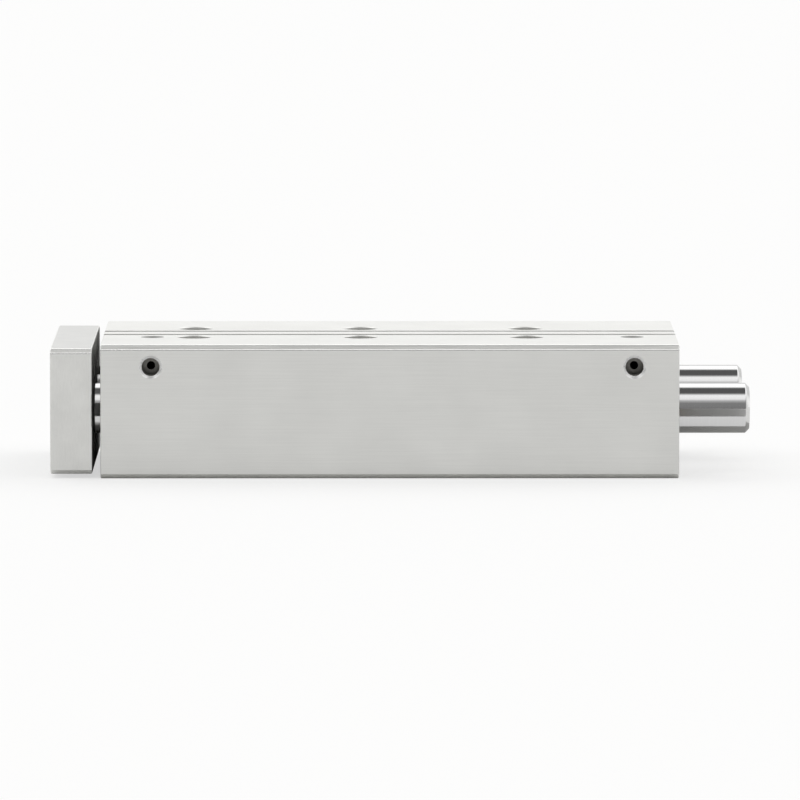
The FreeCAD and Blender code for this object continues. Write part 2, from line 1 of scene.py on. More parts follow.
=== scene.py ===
"""Looks of a guided pneumatic cylinder.

Most pieces are modelled again at the frame's sizes, with broken edges and cut threads. Those inside the bore
keep their shape, and every piece gets its finish. Sizes are millimetres unless a name says otherwise. The
origin is the centre of the housing's underside, +X is the way the yoke plate extends, +Z is up and +Y is the
side with the open ports.
"""

import logging
import math
from contextlib import contextmanager
from dataclasses import dataclass, replace
from enum import Enum
from itertools import pairwise, zip_longest
from typing import Callable, Iterator, Mapping, Sequence

import bmesh
import bpy
from mathutils import Matrix, Vector


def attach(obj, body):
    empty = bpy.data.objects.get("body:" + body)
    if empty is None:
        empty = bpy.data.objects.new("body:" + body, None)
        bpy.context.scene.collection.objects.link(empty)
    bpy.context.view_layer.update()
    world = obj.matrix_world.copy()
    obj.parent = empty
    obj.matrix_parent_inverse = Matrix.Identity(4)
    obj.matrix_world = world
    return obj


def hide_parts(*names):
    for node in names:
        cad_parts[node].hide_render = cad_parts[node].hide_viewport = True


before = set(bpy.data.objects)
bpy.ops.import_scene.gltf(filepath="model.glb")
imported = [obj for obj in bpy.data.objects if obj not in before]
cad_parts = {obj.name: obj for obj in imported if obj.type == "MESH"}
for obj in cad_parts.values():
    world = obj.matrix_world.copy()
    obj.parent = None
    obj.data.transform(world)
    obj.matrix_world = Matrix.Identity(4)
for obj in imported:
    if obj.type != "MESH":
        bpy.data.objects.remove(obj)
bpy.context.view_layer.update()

log = logging.getLogger("guided_cylinder")

MM = 0.001
CLEAR = 1.0  # how far a cutting tool stands out of the face it enters
TOUCH = 0.001  # places closer together than this are the same place
WELD = 1e-7  # metres; vertices closer together than this are one
FACING = 0.99  # a face whose normal has this share of a direction faces that way
STEEP = 0.5  # an axis that rises by this share of its length counts as upright
SMOOTH_ANGLE = math.radians(32.0)
DRILL_SLOPE = math.radians(20.0)  # of the point that a pilot drill leaves
FORWARD = Vector((1.0, 0.0, 0.0))
TO_PORTS = Vector((0.0, 1.0, 0.0))
UP = Vector((0.0, 0.0, 1.0))

Piece = bpy.types.Object
Tree = bpy.types.NodeTree
Socket = bpy.types.NodeSocket
Colour = tuple[float, float, float, float]
Outline = Sequence[tuple[float, float]]
Test = Callable[[Vector, Vector], bool]


class Body(Enum):
    """The two bodies that pieces ride on."""

    HOUSING = "housing_body"
    CARRIAGE = "carriage"


class Lay(Enum):
    """The way the marks of a surface run."""

    ALONG = "along the stroke"
    UPRIGHT = "up and down"
    RINGS = "round a rod"
    ARCS = "round a line along the stroke, on faces too"
    EVEN = "no way at all"


class Work(Enum):
    """What a tool does to a piece, by Blender's names."""

    CUT = "DIFFERENCE"
    JOIN = "UNION"


# Finishes


def linear(colour: str) -> Colour:
    """Turns an sRGB hex colour to linear light.

    Args:
        colour: Six hex digits after a hash sign.

    Returns:
        Red, green, blue and an alpha of one.
    """
    parts = [int(colour[k : k + 2], 16) / 255.0 for k in (1, 3, 5)]
    red, green, blue = (p / 12.92 if p <= 0.04045 else ((p + 0.055) / 1.055) ** 2.4 for p in parts)
    return red, green, blue, 1.0


def add_node(
    tree: Tree,
    kind: str,
    settings: Mapping[str | int, object] | None = None,
    links: Mapping[str | int, Socket] | None = None,
) -> bpy.types.Node:
    """Adds a node with its settings and links.

    Args:
        tree: The node tree to add to.
        kind: Blender's name for the node.
        settings: Values for inputs, by name or number, or for the node's own properties.
        links: Outputs of other nodes, by the input that they go to.

    Returns:
        The new node.
    """
    node = tree.nodes.new(kind)
    for key, value in (settings or {}).items():
        if isinstance(key, int) or key in node.inputs:
            node.inputs[key].default_value = value
        else:
            setattr(node, key, value)
    for key, socket in (links or {}).items():
        tree.links.new(socket, node.inputs[key])
    return node


def set_stops(node: bpy.types.Node, stops: Sequence[tuple[float, Colour]]) -> None:
    """Gives a colour ramp its stops.

    Args:
        node: The colour ramp.
        stops: Positions from 0 to 1 with linear colours, in order.
    """
    elements = node.color_ramp.elements
    while len(elements) < len(stops):
        elements.new(1.0)
    for element, (position, colour) in zip(elements, stops):
        element.position = position
        element.color = colour


@dataclass(frozen=True)
class Finish:
    """What a surface is made of and how it was worked.

    The marks are drawn by noise that is stretched along the lay. They shade the colour a little, swing the
    roughness and lift the surface by their depth. A slower drift of the colour keeps large faces alive. Arcs
    run round a line along the stroke, at a place across and up. A finish with no slot only coats some faces.
    """

    name: str
    colour: str
    shade: str
    roughness: float
    swing: float = 0.05
    mark_width: float = 0.4
    mark_depth: float = 0.003
    drift: float = 2.0
    slot: str = ""
    lay: Lay = Lay.EVEN
    mark_length: float = 1.0
    arc_middle: tuple[float, float] = (0.0, 16.0)
    metallic: float = 1.0
    ior: float = 1.5

    def mark_vector(self, tree: Tree) -> Socket:
        """Coordinates in which one mark is about one unit long and wide.

        Args:
            tree: The material's node tree.

        Returns:
            The socket that a noise texture reads.
        """
        long, wide = 1.0 / (self.mark_length * MM), 1.0 / (self.mark_width * MM)
        scales = {
            Lay.ALONG: (long, wide, wide),
            Lay.UPRIGHT: (wide, wide, long),
            Lay.RINGS: (wide, long, long),
            Lay.ARCS: (wide, wide, long),
            Lay.EVEN: (wide, wide, wide),
        }
        source = add_node(tree, "ShaderNodeTexCoord").outputs["Object"]
        if self.lay is Lay.ARCS:
            across, up = self.arc_middle
            shift = {"Location": -place(0.0, across, up)}
            centred = add_node(tree, "ShaderNodeMapping", shift, {"Vector": source}).outputs["Vector"]
            parts = add_node(tree, "ShaderNodeSeparateXYZ", None, {"Vector": centred})
            flatten = {"operation": "MULTIPLY", 1: (0.0, 1.0, 1.0)}
            flat = add_node(tree, "ShaderNodeVectorMath", flatten, {0: centred})
            measure = {"operation": "LENGTH"}
            radius = add_node(tree, "ShaderNodeVectorMath", measure, {0: flat.outputs["Vector"]})
            sources = {"X": parts.outputs["X"], "Y": radius.outputs["Value"]}
            source = add_node(tree, "ShaderNodeCombineXYZ", None, sources).outputs["Vector"]
        scaled = add_node(tree, "ShaderNodeMapping", {"Scale": scales[self.lay]}, {"Vector": source})
        return scaled.outputs["Vector"]

    def material(self) -> bpy.types.Material:
        """The finish as a material, made once and then shared.

        Returns:
            The material.
        """
        made = bpy.data.materials.get(self.name)
        if made:
            return made
        made = bpy.data.materials.new(self.name)
        made.use_nodes = True
        tree = made.node_tree
        tree.nodes.clear()
        fine = {"Scale": 1.0, "Detail": 3.0, "Roughness": 0.6}
        marks = add_node(tree, "ShaderNodeTexNoise", fine, {"Vector": self.mark_vector(tree)}).outputs[0]
        coordinates = add_node(tree, "ShaderNodeTexCoord").outputs["Object"]
        slow = {"Scale": 1.0 / (self.drift * MM), "Detail": 2.0}
        drift = add_node(tree, "ShaderNodeTexNoise", slow, {"Vector": coordinates}).outputs[0]
        both = add_node(tree, "ShaderNodeMath", {"operation": "ADD"}, {0: marks, 1: drift})
        spread = {"From Min": 0.6, "From Max": 1.4}
        share = add_node(tree, "ShaderNodeMapRange", spread, {"Value": both.outputs[0]})
        colour = add_node(tree, "ShaderNodeValToRGB", None, {"Fac": share.outputs[0]})
        set_stops(colour, [(0.0, linear(self.shade)), (1.0, linear(self.colour))])
        limits = {
            "From Min": 0.3,
            "From Max": 0.7,
            "To Min": self.roughness - self.swing,
            "To Max": self.roughness + self.swing,
        }
        roughness = add_node(tree, "ShaderNodeMapRange", limits, {"Value": marks})
        relief = {"Strength": 1.0, "Distance": self.mark_depth * MM}
        bump = add_node(tree, "ShaderNodeBump", relief, {"Height": marks})
        inputs = {
            "Base Color": colour.outputs["Color"],
            "Roughness": roughness.outputs[0],
            "Normal": bump.outputs["Normal"],
        }
        constants = {"Metallic": self.metallic, "IOR": self.ior}
        shader = add_node(tree, "ShaderNodeBsdfPrincipled", constants, inputs)
        add_node(tree, "ShaderNodeOutputMaterial", None, {"Surface": shader.outputs["BSDF"]})
        return made


# Extruded bar, brushed along its length and clear anodised: pale, matt, with faint long streaks.
ANODISED = Finish(
    slot="housing_aluminium",
    name="clear_anodised_brushed_aluminium",
    colour="#ECECE9",
    shade="#E2E2DF",
    roughness=0.44,
    lay=Lay.ALONG,
    mark_length=18.0,
    mark_width=0.35,
    drift=14.0,
)

# Cut plate, tumbled in stone chips and clear anodised: the same metal with a fine upright mottle.
TUMBLED = Finish(
    slot="plate_aluminium",
    name="clear_anodised_tumbled_aluminium",
    colour="#EFEFEC",
    shade="#E2E2DF",
    roughness=0.48,
    swing=0.06,
    lay=Lay.UPRIGHT,
    mark_length=2.2,
    mark_depth=0.004,
    drift=6.0,
)

# The plate's top and underside: a little darker than its tumbled ends, with marks along the stroke.
PLATE_BROAD_FACE = Finish(
    name="plate_broad_face_aluminium",
    colour="#DBDBD9",
    shade="#CFCFCD",
    roughness=0.46,
    lay=Lay.ALONG,
    mark_length=6.0,
    drift=8.0,
)

# Upper edges that drawing, tumbling and handling have rubbed, and a painted highlight: a thin bright line.
BURNISHED_HIGHLIGHT = Finish(
    name="burnished_edge_painted_highlight",
    colour="#F4F4F2",
    shade="#ECEDEA",
    roughness=0.24,
    mark_width=0.5,
    mark_depth=0.001,
    drift=5.0,
)

# End faces, sawn and faced by a wide cutter: duller and greyer, with wide arcs. The feed is drawn coarser
# than it is, to show.
MILLED = Finish(
    name="face_milled_anodised_aluminium",
    colour="#C6C7C4",
    shade="#B2B3B0",
    roughness=0.56,
    swing=0.07,
    lay=Lay.ARCS,
    arc_middle=(0.0, -70.0),
    mark_width=0.45,
    mark_depth=0.004,
    drift=9.0,
)

# The plate's inner face, towards the housing: dull, and painted darker than the milled one as the shade of
# the gap.
GAP_SHADE = Finish(
    name="plate_inner_face_painted_shade",
    colour="#A6A6A4",
    shade="#8E8E8C",
    roughness=0.7,
    swing=0.08,
    lay=Lay.UPRIGHT,
    mark_length=5.0,
    mark_depth=0.006,
    drift=7.0,
)

# Countersinks, cut after anodising: bare metal, painted brighter and part matt, as painted light against the
# hollow's shade.
LIT_LEAD = Finish(
    name="countersink_painted_light",
    colour="#FAFAF9",
    shade="#F2F2F1",
    roughness=0.3,
    swing=0.04,
    mark_width=0.6,
    mark_depth=0.001,
    metallic=0.5,
)

# Bores, honed and hard anodised: grey, with fine rings.
HONED = Finish(
    name="honed_anodised_aluminium",
    colour="#B9BAB9",
    shade="#A9AAA9",
    roughness=0.3,
    lay=Lay.RINGS,
    mark_length=6.0,
    mark_width=0.3,
    mark_depth=0.001,
    drift=6.0,
)

# Drilled and tapped holes: painted dark as the shade inside them, with a sheen on the thread.
TAPPED_SHADE = Finish(
    name="tapped_aluminium_painted_shade",
    colour="#7E7D79",
    shade="#605F5B",
    roughness=0.36,
    swing=0.08,
)

# Leads of the closed ports: grey and matt, painted darker than the open ports' leads as the shade in them.
SHADED_LEAD = Finish(
    name="closed_port_lead_painted_shade",
    colour="#B6B6B4",
    shade="#A8A8A6",
    roughness=0.62,
    drift=3.0,
)

# Caps and pistons from the lathe: brighter, with fine rings. The feed is drawn coarser than it is, to show.
TURNED_ALUMINIUM = Finish(
    slot="turned_aluminium",
    name="turned_aluminium",
    colour="#E6E7E8",
    shade="#D2D3D5",
    roughness=0.28,
    swing=0.06,
    lay=Lay.ARCS,
    mark_width=0.16,
    mark_depth=0.002,
    drift=5.0,
)

# Ground, hard chromed and polished: a cold mirror with hairline rings left by the belt.
HARD_CHROME = Finish(
    slot="hard_chrome",
    name="polished_hard_chrome",
    colour="#D3D3D3",
    shade="#CDCDCD",
    roughness=0.09,
    swing=0.02,
    lay=Lay.RINGS,
    mark_length=9.0,
    mark_width=0.3,
    mark_depth=0.0002,
    drift=12.0,
)

# Ends of the chromed rods, faced and chamfered on the lathe afterwards: bare steel with a satin sheen.
FACED_STEEL = Finish(
    name="lathe_faced_steel",
    colour="#D6D6D5",
    shade="#CCCCCB",
    roughness=0.16,
    swing=0.03,
    lay=Lay.RINGS,
    mark_length=4.0,
    mark_width=0.2,
    mark_depth=0.0005,
    drift=3.0,
)

# Ground stainless rod: warmer and a little duller than the chrome.
STAINLESS = Finish(
    slot="stainless_rod",
    name="ground_stainless_steel",
    colour="#C8C6C2",
    shade="#BEBCB8",
    roughness=0.15,
    swing=0.03,
    lay=Lay.RINGS,
    mark_length=6.0,
    mark_width=0.25,
    mark_depth=0.0004,
    drift=9.0,
)

# Cold-headed steel, bright zinc plated: blue-grey, soft bloom, slightly uneven.
ZINC = Finish(
    slot="zinc_steel",
    name="bright_zinc_plated_steel",
    colour="#CDD0D4",
    shade="#BCC0C5",
    roughness=0.28,
    swing=0.06,
    mark_width=0.6,
    mark_depth=0.0015,
    drift=2.5,
)

# Sockets of plated screws: dull, and painted darker as the shade inside them.
SOCKET_SHADE = Finish(
    name="socket_zinc_painted_shade",
    colour="#8C8F93",
    shade="#6E7175",
    roughness=0.42,
    swing=0.08,
    mark_depth=0.002,
    drift=1.5,
)

# Hardened set screw, blackened in salt: dark, with a low sheen.
BLACKENED = Finish(
    slot="plug_steel",
    name="blackened_steel",
    colour="#4A4A4B",
    shade="#343435",
    roughness=0.36,
    swing=0.08,
    mark_depth=0.004,
)

# Stamped spring steel, phosphated: near black, dry.
PHOSPHATED = Finish(
    slot="spring_steel",
    name="phosphated_spring_steel",
    colour="#5A5956",
    shade="#42413F",
    roughness=0.45,
    swing=0.08,
    mark_width=0.3,
    mark_depth=0.005,
    metallic=0.8,
)

# Pressed and sintered bronze, oiled: brown gold, open pores.
BRONZE = Finish(
    slot="sintered_bronze",
    name="sintered_bronze",
    colour="#B98F56",
    shade="#8B653A",
    roughness=0.42,
    swing=0.1,
    mark_width=0.25,
    mark_depth=0.01,
)

# Moulded nitrile rubber: black, dull, a breath of bloom.
NITRILE = Finish(
    slot="nitrile_rubber",
    name="moulded_nitrile_rubber",
    colour="#232324",
    shade="#191919",
    roughness=0.55,
    swing=0.08,
    mark_depth=0.004,
    drift=3.0,
    metallic=0.0,
    ior=1.52,
)

# Injection-moulded sealing urethane: blue-grey, satin.
SEAL_URETHANE = Finish(
    slot="seal_urethane",
    name="moulded_seal_urethane",
    colour="#39424C",
    shade="#2D353D",
    roughness=0.4,
    swing=0.06,
    drift=3.0,
    metallic=0.0,
)

# Cast buffer urethane: amber, waxy.
BUFFER_URETHANE = Finish(
    slot="buffer_urethane",
    name="cast_buffer_urethane",
    colour="#B9852F",
    shade="#A37226",
    roughness=0.4,
    mark_width=0.6,
    drift=4.0,
    metallic=0.0,
)

# Moulded acetal wear strip: off-white, slippery.
ACETAL = Finish(
    slot="wear_polymer",
    name="moulded_acetal",
    colour="#E4E1D8",
    shade="#D8D5CB",
    roughness=0.35,
    mark_width=0.5,
    mark_depth=0.002,
    drift=4.0,
    metallic=0.0,
    ior=1.48,
)

# Ferrite powder in a binder: dark grey, grainy.
FERRITE = Finish(
    slot="bonded_ferrite",
    name="bonded_ferrite",
    colour="#3B3A3A",
    shade="#2A2929",
    roughness=0.6,
    swing=0.08,
    mark_width=0.2,
    mark_depth=0.006,
    drift=1.5,
    metallic=0.2,
)


# Handwork: the few operations that every piece is made with


def place(x: float, y: float, z: float) -> Vector:
    """A point given in millimetres, in metres."""
    return Vector((x, y, z)) * MM


def only(piece: Piece) -> None:
    """Leaves one piece selected and active.

    Args:
        piece: The piece.
    """
    bpy.ops.object.select_all(action="DESELECT")
    piece.select_set(True)
    bpy.context.view_layer.objects.active = piece


def settle(piece: Piece) -> None:
    """Moves a piece's place, turn and size into its mesh."""
    only(piece)
    bpy.ops.object.transform_apply(location=True, rotation=True, scale=True)


def coat(piece: Piece, finish: Finish) -> Piece:
    """Gives a piece, or the faces that a tool will cut, a finish, and returns it."""
    piece.data.materials.append(finish.material())
    return piece


def coat_faces(piece: Piece, finish: Finish, test: Test) -> None:
    """Gives some faces of a piece a finish of their own.

    Args:
        piece: The piece to coat.
        finish: The finish.
        test: Says whether a face with that middle, in millimetres, and that normal is wanted.
    """
    coat(piece, finish)
    last = len(piece.data.materials) - 1
    for face in piece.data.polygons:
        if test(face.center / MM, face.normal):
            face.material_index = last


@contextmanager
def editing(piece: Piece) -> Iterator[None]:
    """Opens one piece in edit mode with nothing selected, and closes it again.

    Args:
        piece: The piece to open.

    Returns:
        A context in which the piece is open.
    """
    only(piece)
    bpy.ops.object.mode_set(mode="EDIT")
    bpy.ops.mesh.select_mode(type="EDGE")
    bpy.ops.mesh.select_all(action="DESELECT")
    yield
    bpy.ops.object.mode_set(mode="OBJECT")


def bevel_edges(piece: Piece, test: Test, width: float, rounds: int, coating: int = -1) -> None:
    """Bevels the edges of an open piece that pass a test.

    Args:
        piece: The piece that is open in edit mode.
        test: Says whether an edge between two points, in millimetres, is wanted.
        width: How far the bevel reaches along each face.
        rounds: Steps across the bevel; one makes it flat.
        coating: Number of the finish that the bevel gets; -1 keeps that of the faces beside it.
    """
    bpy.ops.mesh.select_all(action="DESELECT")
    mesh = bmesh.from_edit_mesh(piece.data)
    for edge in mesh.edges:
        first, second = (vertex.co / MM for vertex in edge.verts)
        if test(first, second):
            edge.select_set(True)
    bmesh.update_edit_mesh(piece.data)
    bpy.ops.mesh.bevel(offset=width * MM, segments=rounds, affect="EDGES", material=coating)


def apply_modifier(piece: Piece, kind: str, **settings: object) -> None:
    """Adds a modifier with its settings and applies it.

    Args:
        piece: The piece to change.
        kind: Blender's name for the modifier.
        settings: The modifier's own settings.
    """
    only(piece)
    bpy.ops.object.modifier_add(type=kind)
    modifier = piece.modifiers[-1]
    for name, value in settings.items():
        setattr(modifier, name, value)
    bpy.ops.object.modifier_apply(modifier=modifier.name)


def cut(piece: Piece, tools: Sequence[Piece], work: Work = Work.CUT) -> None:
    """Cuts tools out of a piece, or joins them to it, one after the other. New faces keep the tool's finish.

    Args:
        piece: The piece to work on.
        tools: Closed meshes, which are used up.
        work: Whether the tools are cut out or joined on.
    """
    for tool in tools:
        settings = {"operation": work.value, "solver": "EXACT", "material_mode": "TRANSFER", "object": tool}
        apply_modifier(piece, "BOOLEAN", **settings)
        bpy.data.meshes.remove(tool.data)


def cut_holes(piece: Piece, holes: Sequence[Sequence[Piece]]) -> None:
    """Cuts several holes together: the first tools of all of them, then the second ones, and so on.

    Args:
        piece: The piece to work on.
        holes: For each hole its coated tools, in cutting order. No hole meets another.
    """
    for row in zip_longest(*holes):
        tools = [tool for tool in row if tool]
        only(tools[0])
        for tool in tools:
            tool.select_set(True)
        bpy.ops.object.join()
        cut(piece, [tools[0]])


def soften(piece: Piece, width: float, rounds: int = 2) -> Piece:
    """Breaks every sharp edge of a piece.

    Args:
        piece: The piece to change.
        width: How far the break reaches along each face.
        rounds: Steps across the break.

    Returns:
        The same piece.
    """
    limits = {"limit_method": "ANGLE", "angle_limit": SMOOTH_ANGLE}
    apply_modifier(piece, "BEVEL", width=width * MM, segments=rounds, **limits)
    return piece


def draw_chain(name: str, corners: Sequence[Vector]) -> Piece:
    """Draws a chain of edges, from one vertex that is extruded from corner to corner.

    Args:
        name: The new piece's name.
        corners: Points in metres, in order.

    Returns:
        The piece, which so far is edges alone.
    """
    bpy.ops.object.select_all(action="DESELECT")
    bpy.ops.mesh.primitive_plane_add(size=MM, location=corners[0])
    piece = bpy.context.object
    piece.name = name
    settle(piece)
    with editing(piece):
        bpy.ops.mesh.select_mode(type="VERT")
        bpy.ops.mesh.select_all(action="SELECT")
        bpy.ops.mesh.merge(type="CENTER")
        for here, there in pairwise(corners):
            bpy.ops.mesh.extrude_vertices_move(TRANSFORM_OT_translate={"value": there - here})
    return piece


def close_mesh(piece: Piece) -> None:
    """Welds an open mesh, fills the holes left in it and turns its faces outwards.

    Args:
        piece: The piece to close.
    """
    with editing(piece):
        bpy.ops.mesh.select_all(action="SELECT")
        bpy.ops.mesh.remove_doubles(threshold=WELD)
        bpy.ops.mesh.select_all(action="DESELECT")
        bpy.ops.mesh.select_non_manifold(
            use_wire=False, use_multi_face=False, use_non_contiguous=False, use_verts=False
        )
        bpy.ops.mesh.fill_holes(sides=0)
        bpy.ops.mesh.select_all(action="SELECT")
        bpy.ops.mesh.normals_make_consistent(inside=False)


def turn(name: str, outline: Outline, start: Vector, axis: Vector, steps: int = 72) -> Piece:
    """Turns a piece on a lathe, from its outline.

    Args:
        name: The new piece's name.
        outline: Corners as (distance along the axis, radius). It is closed unless it starts on the axis.
        start: The point on the axis that distances are counted from, in metres.
        axis: The axis's direction.
        steps: Facets round the piece.

    Returns:
        The closed piece.
    """
    outwards = UP if abs(axis.z) < STEEP else TO_PORTS
    outwards = (outwards - axis * outwards.dot(axis)).normalized()
    corners = [start + (axis * along + outwards * radius) * MM for along, radius in outline]
    if outline[0][1] > 0:
        corners.append(corners[0])
    piece = draw_chain(name, corners)
    with editing(piece):
        bpy.ops.mesh.select_all(action="SELECT")
        bpy.ops.mesh.spin(steps=steps, angle=math.tau, center=start, axis=axis)
    close_mesh(piece)
    return piece


def block(name: str, low: Vector, high: Vector) -> Piece:
    """A plain box between two corners, for shaping.

    Args:
        name: The new piece's name.
        low: Lowest corner, in metres.
        high: Highest corner, in metres.

    Returns:
        The box.
    """
    bpy.ops.object.select_all(action="DESELECT")
    bpy.ops.mesh.primitive_cube_add(size=1.0, location=(low + high) / 2, scale=high - low)
    piece = bpy.context.object
    piece.name = name
    settle(piece)
    return piece


def bar_tool(radius: float, first: float, last: float, start: Vector, axis: Vector, steps: int = 72) -> Piece:
    """A plain round bar for cutting, between two ends that are counted along the axis from its start."""
    return turn("bar_tool", [(first, 0.0), (first, radius), (last, radius), (last, 0.0)], start, axis, steps)


def hexagon_tool(across: float, start: Vector, axis: Vector, depth: float) -> Piece:
    """A hexagonal bar with a pointed inner end, as a broach and its pilot drill leave it.

    Args:
        across: Size across flats.
        start: Middle of the mouth, in metres.
        axis: Direction into the metal.
        depth: Depth of the flats.

    Returns:
        The closed bar, which also stands out of the mouth.
    """
    corner = across / math.sqrt(3.0)
    point = corner * math.tan(DRILL_SLOPE)
    outline = [(-CLEAR, 0.0), (-CLEAR, corner), (depth, corner), (depth + point, 0.0)]
    return turn("hexagon_tool", outline, start, axis, steps=6)


def cone_tool(radius: float, mouth: Vector, axis: Vector) -> Piece:
    """A countersink at 45 degrees that leaves that radius round a mouth, in the face that the axis enters."""
    return turn("cone_tool", [(-CLEAR, 0.0), (-CLEAR, radius + CLEAR), (radius, 0.0)], mouth, axis)


def broken_bar(first: float, last: float, inner: float, outer: float, rim: float) -> Outline:
    """The outline of a bar or bush between two ends, whose outer rims are broken.

    Args:
        first: Its first end, along the axis.
        last: Its last end, along the axis.
        inner: Inner radius.
        outer: Outer radius.
        rim: Width of the break.

    Returns:
        Corners as (distance along the axis, radius).
    """
    return [
        (first, inner),
        (first, outer - rim),
        (first + rim, outer),
        (last - rim, outer),
        (last, outer - rim),
        (last, inner),
    ]


@dataclass(frozen=True)
class Thread:
    """Sizes of a tapped hole.

    The groove starts a short run-in past the countersink. Its own sizes are shares of the pitch.
    """

    core: float
    pitch: float
    depth: float
    flare: float
    turns: int
    run_in: float = 0.05
    groove_depth: float = 0.43
    groove_overlap: float = 0.06
    groove_root: tuple[float, float] = (0.26, 0.38)
    groove_width: float = 0.64
    steps: int = 40

    def groove(self, mouth: Vector, axis: Vector) -> Piece:
        """The helical tool that cuts the thread into the wall of the core hole.

        Args:
            mouth: Middle of the hole's mouth, in metres.
            axis: Direction into the metal.

        Returns:
            The closed tool.
        """
        first = self.flare + self.run_in
        root = self.core + self.groove_depth * self.pitch
        inside = self.core - self.groove_overlap * self.pitch
        low, high = self.groove_root
        section = [(inside, 0.0), (root, low), (root, high), (inside, self.groove_width), (inside, 0.0)]
        corners = [place(radius, 0.0, first + rise * self.pitch) for radius, rise in section]
        tool = draw_chain("thread_tool", corners)
        sweep = {"axis": "Z", "angle": math.tau, "screw_offset": self.pitch * MM, "iterations": self.turns}
        apply_modifier(tool, "SCREW", steps=self.steps, render_steps=self.steps, **sweep)
        close_mesh(tool)
        tool.matrix_world = Matrix.Translation(mouth) @ axis.to_track_quat("Z", "Y").to_matrix().to_4x4()
        settle(tool)
        return tool

    def tools(self, mouth: Vector, axis: Vector, lead: Finish = LIT_LEAD) -> list[Piece]:
        """The countersink, the drill and the tap.

        Args:
            mouth: Middle of the hole's mouth, in metres.
            axis: Direction into the metal.
            lead: The countersink's finish.

        Returns:
            The tools, in cutting order, coated for what they leave.
        """
        return [
            # The countersink's default finish is painted light that lifts the hollow's shade.
            coat(cone_tool(self.core + self.flare, mouth, axis), lead),
            # The drill and the tap leave walls painted dark as the shade inside the hole.
            coat(bar_tool(self.core, -CLEAR, self.depth, mouth, axis), TAPPED_SHADE),
            coat(self.groove(mouth, axis), TAPPED_SHADE),
        ]


def profile_block(
    name: str, low: Vector, high: Vector, chamfer: float, end_break: float, glint: float, finish: Finish
) -> Piece:
    """A length of bar along X with chamfered long edges and broken ends.

    Args:
        name: The new piece's name.
        low: Lowest corner, in metres.
        high: Highest corner, in metres.
        chamfer: Width of the chamfer on the long edges.
        end_break: Width of the break round the two end faces.
        glint: Rounding of the upper edges that the chamfer leaves; a line of light, partly a painted
            highlight.
        finish: The bar's finish.

    Returns:
        The shaped and coated bar.
    """
    piece = block(name, low, high)
    coat(piece, finish)
    # The upper edges get a rubbed finish whose brighter colour is partly a painted highlight.
    coat(piece, BURNISHED_HIGHLIGHT)
    ends = (low.x / MM, high.x / MM)
    middle = (low.z + high.z) / 2 / MM

    def is_long(first: Vector, second: Vector) -> bool:
        """Whether an edge runs along the bar."""
        return abs(first.x - second.x) > chamfer

    def is_upper(first: Vector, second: Vector) -> bool:
        """Whether an edge runs along the bar's upper half."""
        return is_long(first, second) and first.z > middle

    def is_end(first: Vector, second: Vector) -> bool:
        """Whether an edge lies in an end face."""
        return any(abs(first.x - end) + abs(second.x - end) < TOUCH for end in ends)

    with editing(piece):
        bevel_edges(piece, is_long, chamfer, rounds=1)
        bevel_edges(piece, is_upper, glint, rounds=3, coating=1)
        bevel_edges(piece, is_end, end_break, rounds=2)
    return piece


def mill_ends(piece: Piece) -> None:
    """Gives the faces that look along X their milled finish.

    Args:
        piece: A finished bar or plate.
    """
    ends = [corner[0] / MM for corner in piece.bound_box]

    def is_end(middle: Vector, normal: Vector) -> bool:
        """Whether a face is an end face."""
        return abs(normal.x) > FACING and min(abs(middle.x - end) for end in ends) < TOUCH

    coat_faces(piece, MILLED, is_end)


def hand_over(piece: Piece, body: Body, finish: Finish, *nodes: str) -> None:
    """Shades a finished piece, coats it if it is still bare, and mounts it in place of CAD nodes.

    Args:
        piece: The piece, at its place.
        body: The body that it rides on.
        finish: Its main finish.
        nodes: The CAD nodes that it stands for.
    """
    only(piece)
    bpy.ops.object.shade_smooth_by_angle(angle=SMOOTH_ANGLE)
    apply_modifier(piece, "WEIGHTED_NORMAL", keep_sharp=True)
    if not any(piece.data.materials):
        piece.data.materials.clear()
        coat(piece, finish)
    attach(piece, body.value)
    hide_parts(*nodes)
    log.info("%s: %d faces, %s", piece.name, len(piece.data.polygons), finish.name)


# Sub-assemblies


@dataclass(frozen=True)
class Layout:
    """Places that several sub-assemblies share."""

    front: float = 69.0
    rear: float = -69.0
    half_width: float = 33.0
    height: float = 32.0
    axis_up: float = 16.0
    guide_side: float = 23.0
    mount_side: float = 11.5
    port_places: tuple[float, float] = (57.0, -58.3)
    plate_in: float = 71.0
    plate_out: float = 81.0
    rod_front: float = 73.0
    guide_radius: float = 6.0
    neck_radius: float = 5.5
    guide_bore: float = 8.0
    rod_radius: float = 4.0
    seat_radius: float = 10.0
    front_seat: float = 58.2
    rear_seat: float = -59.5
    ring_setback: float = 1.2
    ring_groove: float = 1.1
    ring_radius: float = 10.5
    seat_fit: float = 0.02

    def axis(self, side: float = 0.0, along: float = 0.0, up: float = 0.0) -> Vector:
        """A point in metres, counted from the middle of the axis at that side."""
        return place(along, side, self.axis_up + up)


LAYOUT = Layout()
SIDES = (("left", LAYOUT.guide_side), ("right", -LAYOUT.guide_side))


def lathe(name: str, outline: Outline, side: float = 0.0, steps: int = 128) -> Piece:
    """Turns a piece round the axis along the stroke at that side, from corners as (place along X, radius)."""
    return turn(name, outline, LAYOUT.axis(side), FORWARD, steps)


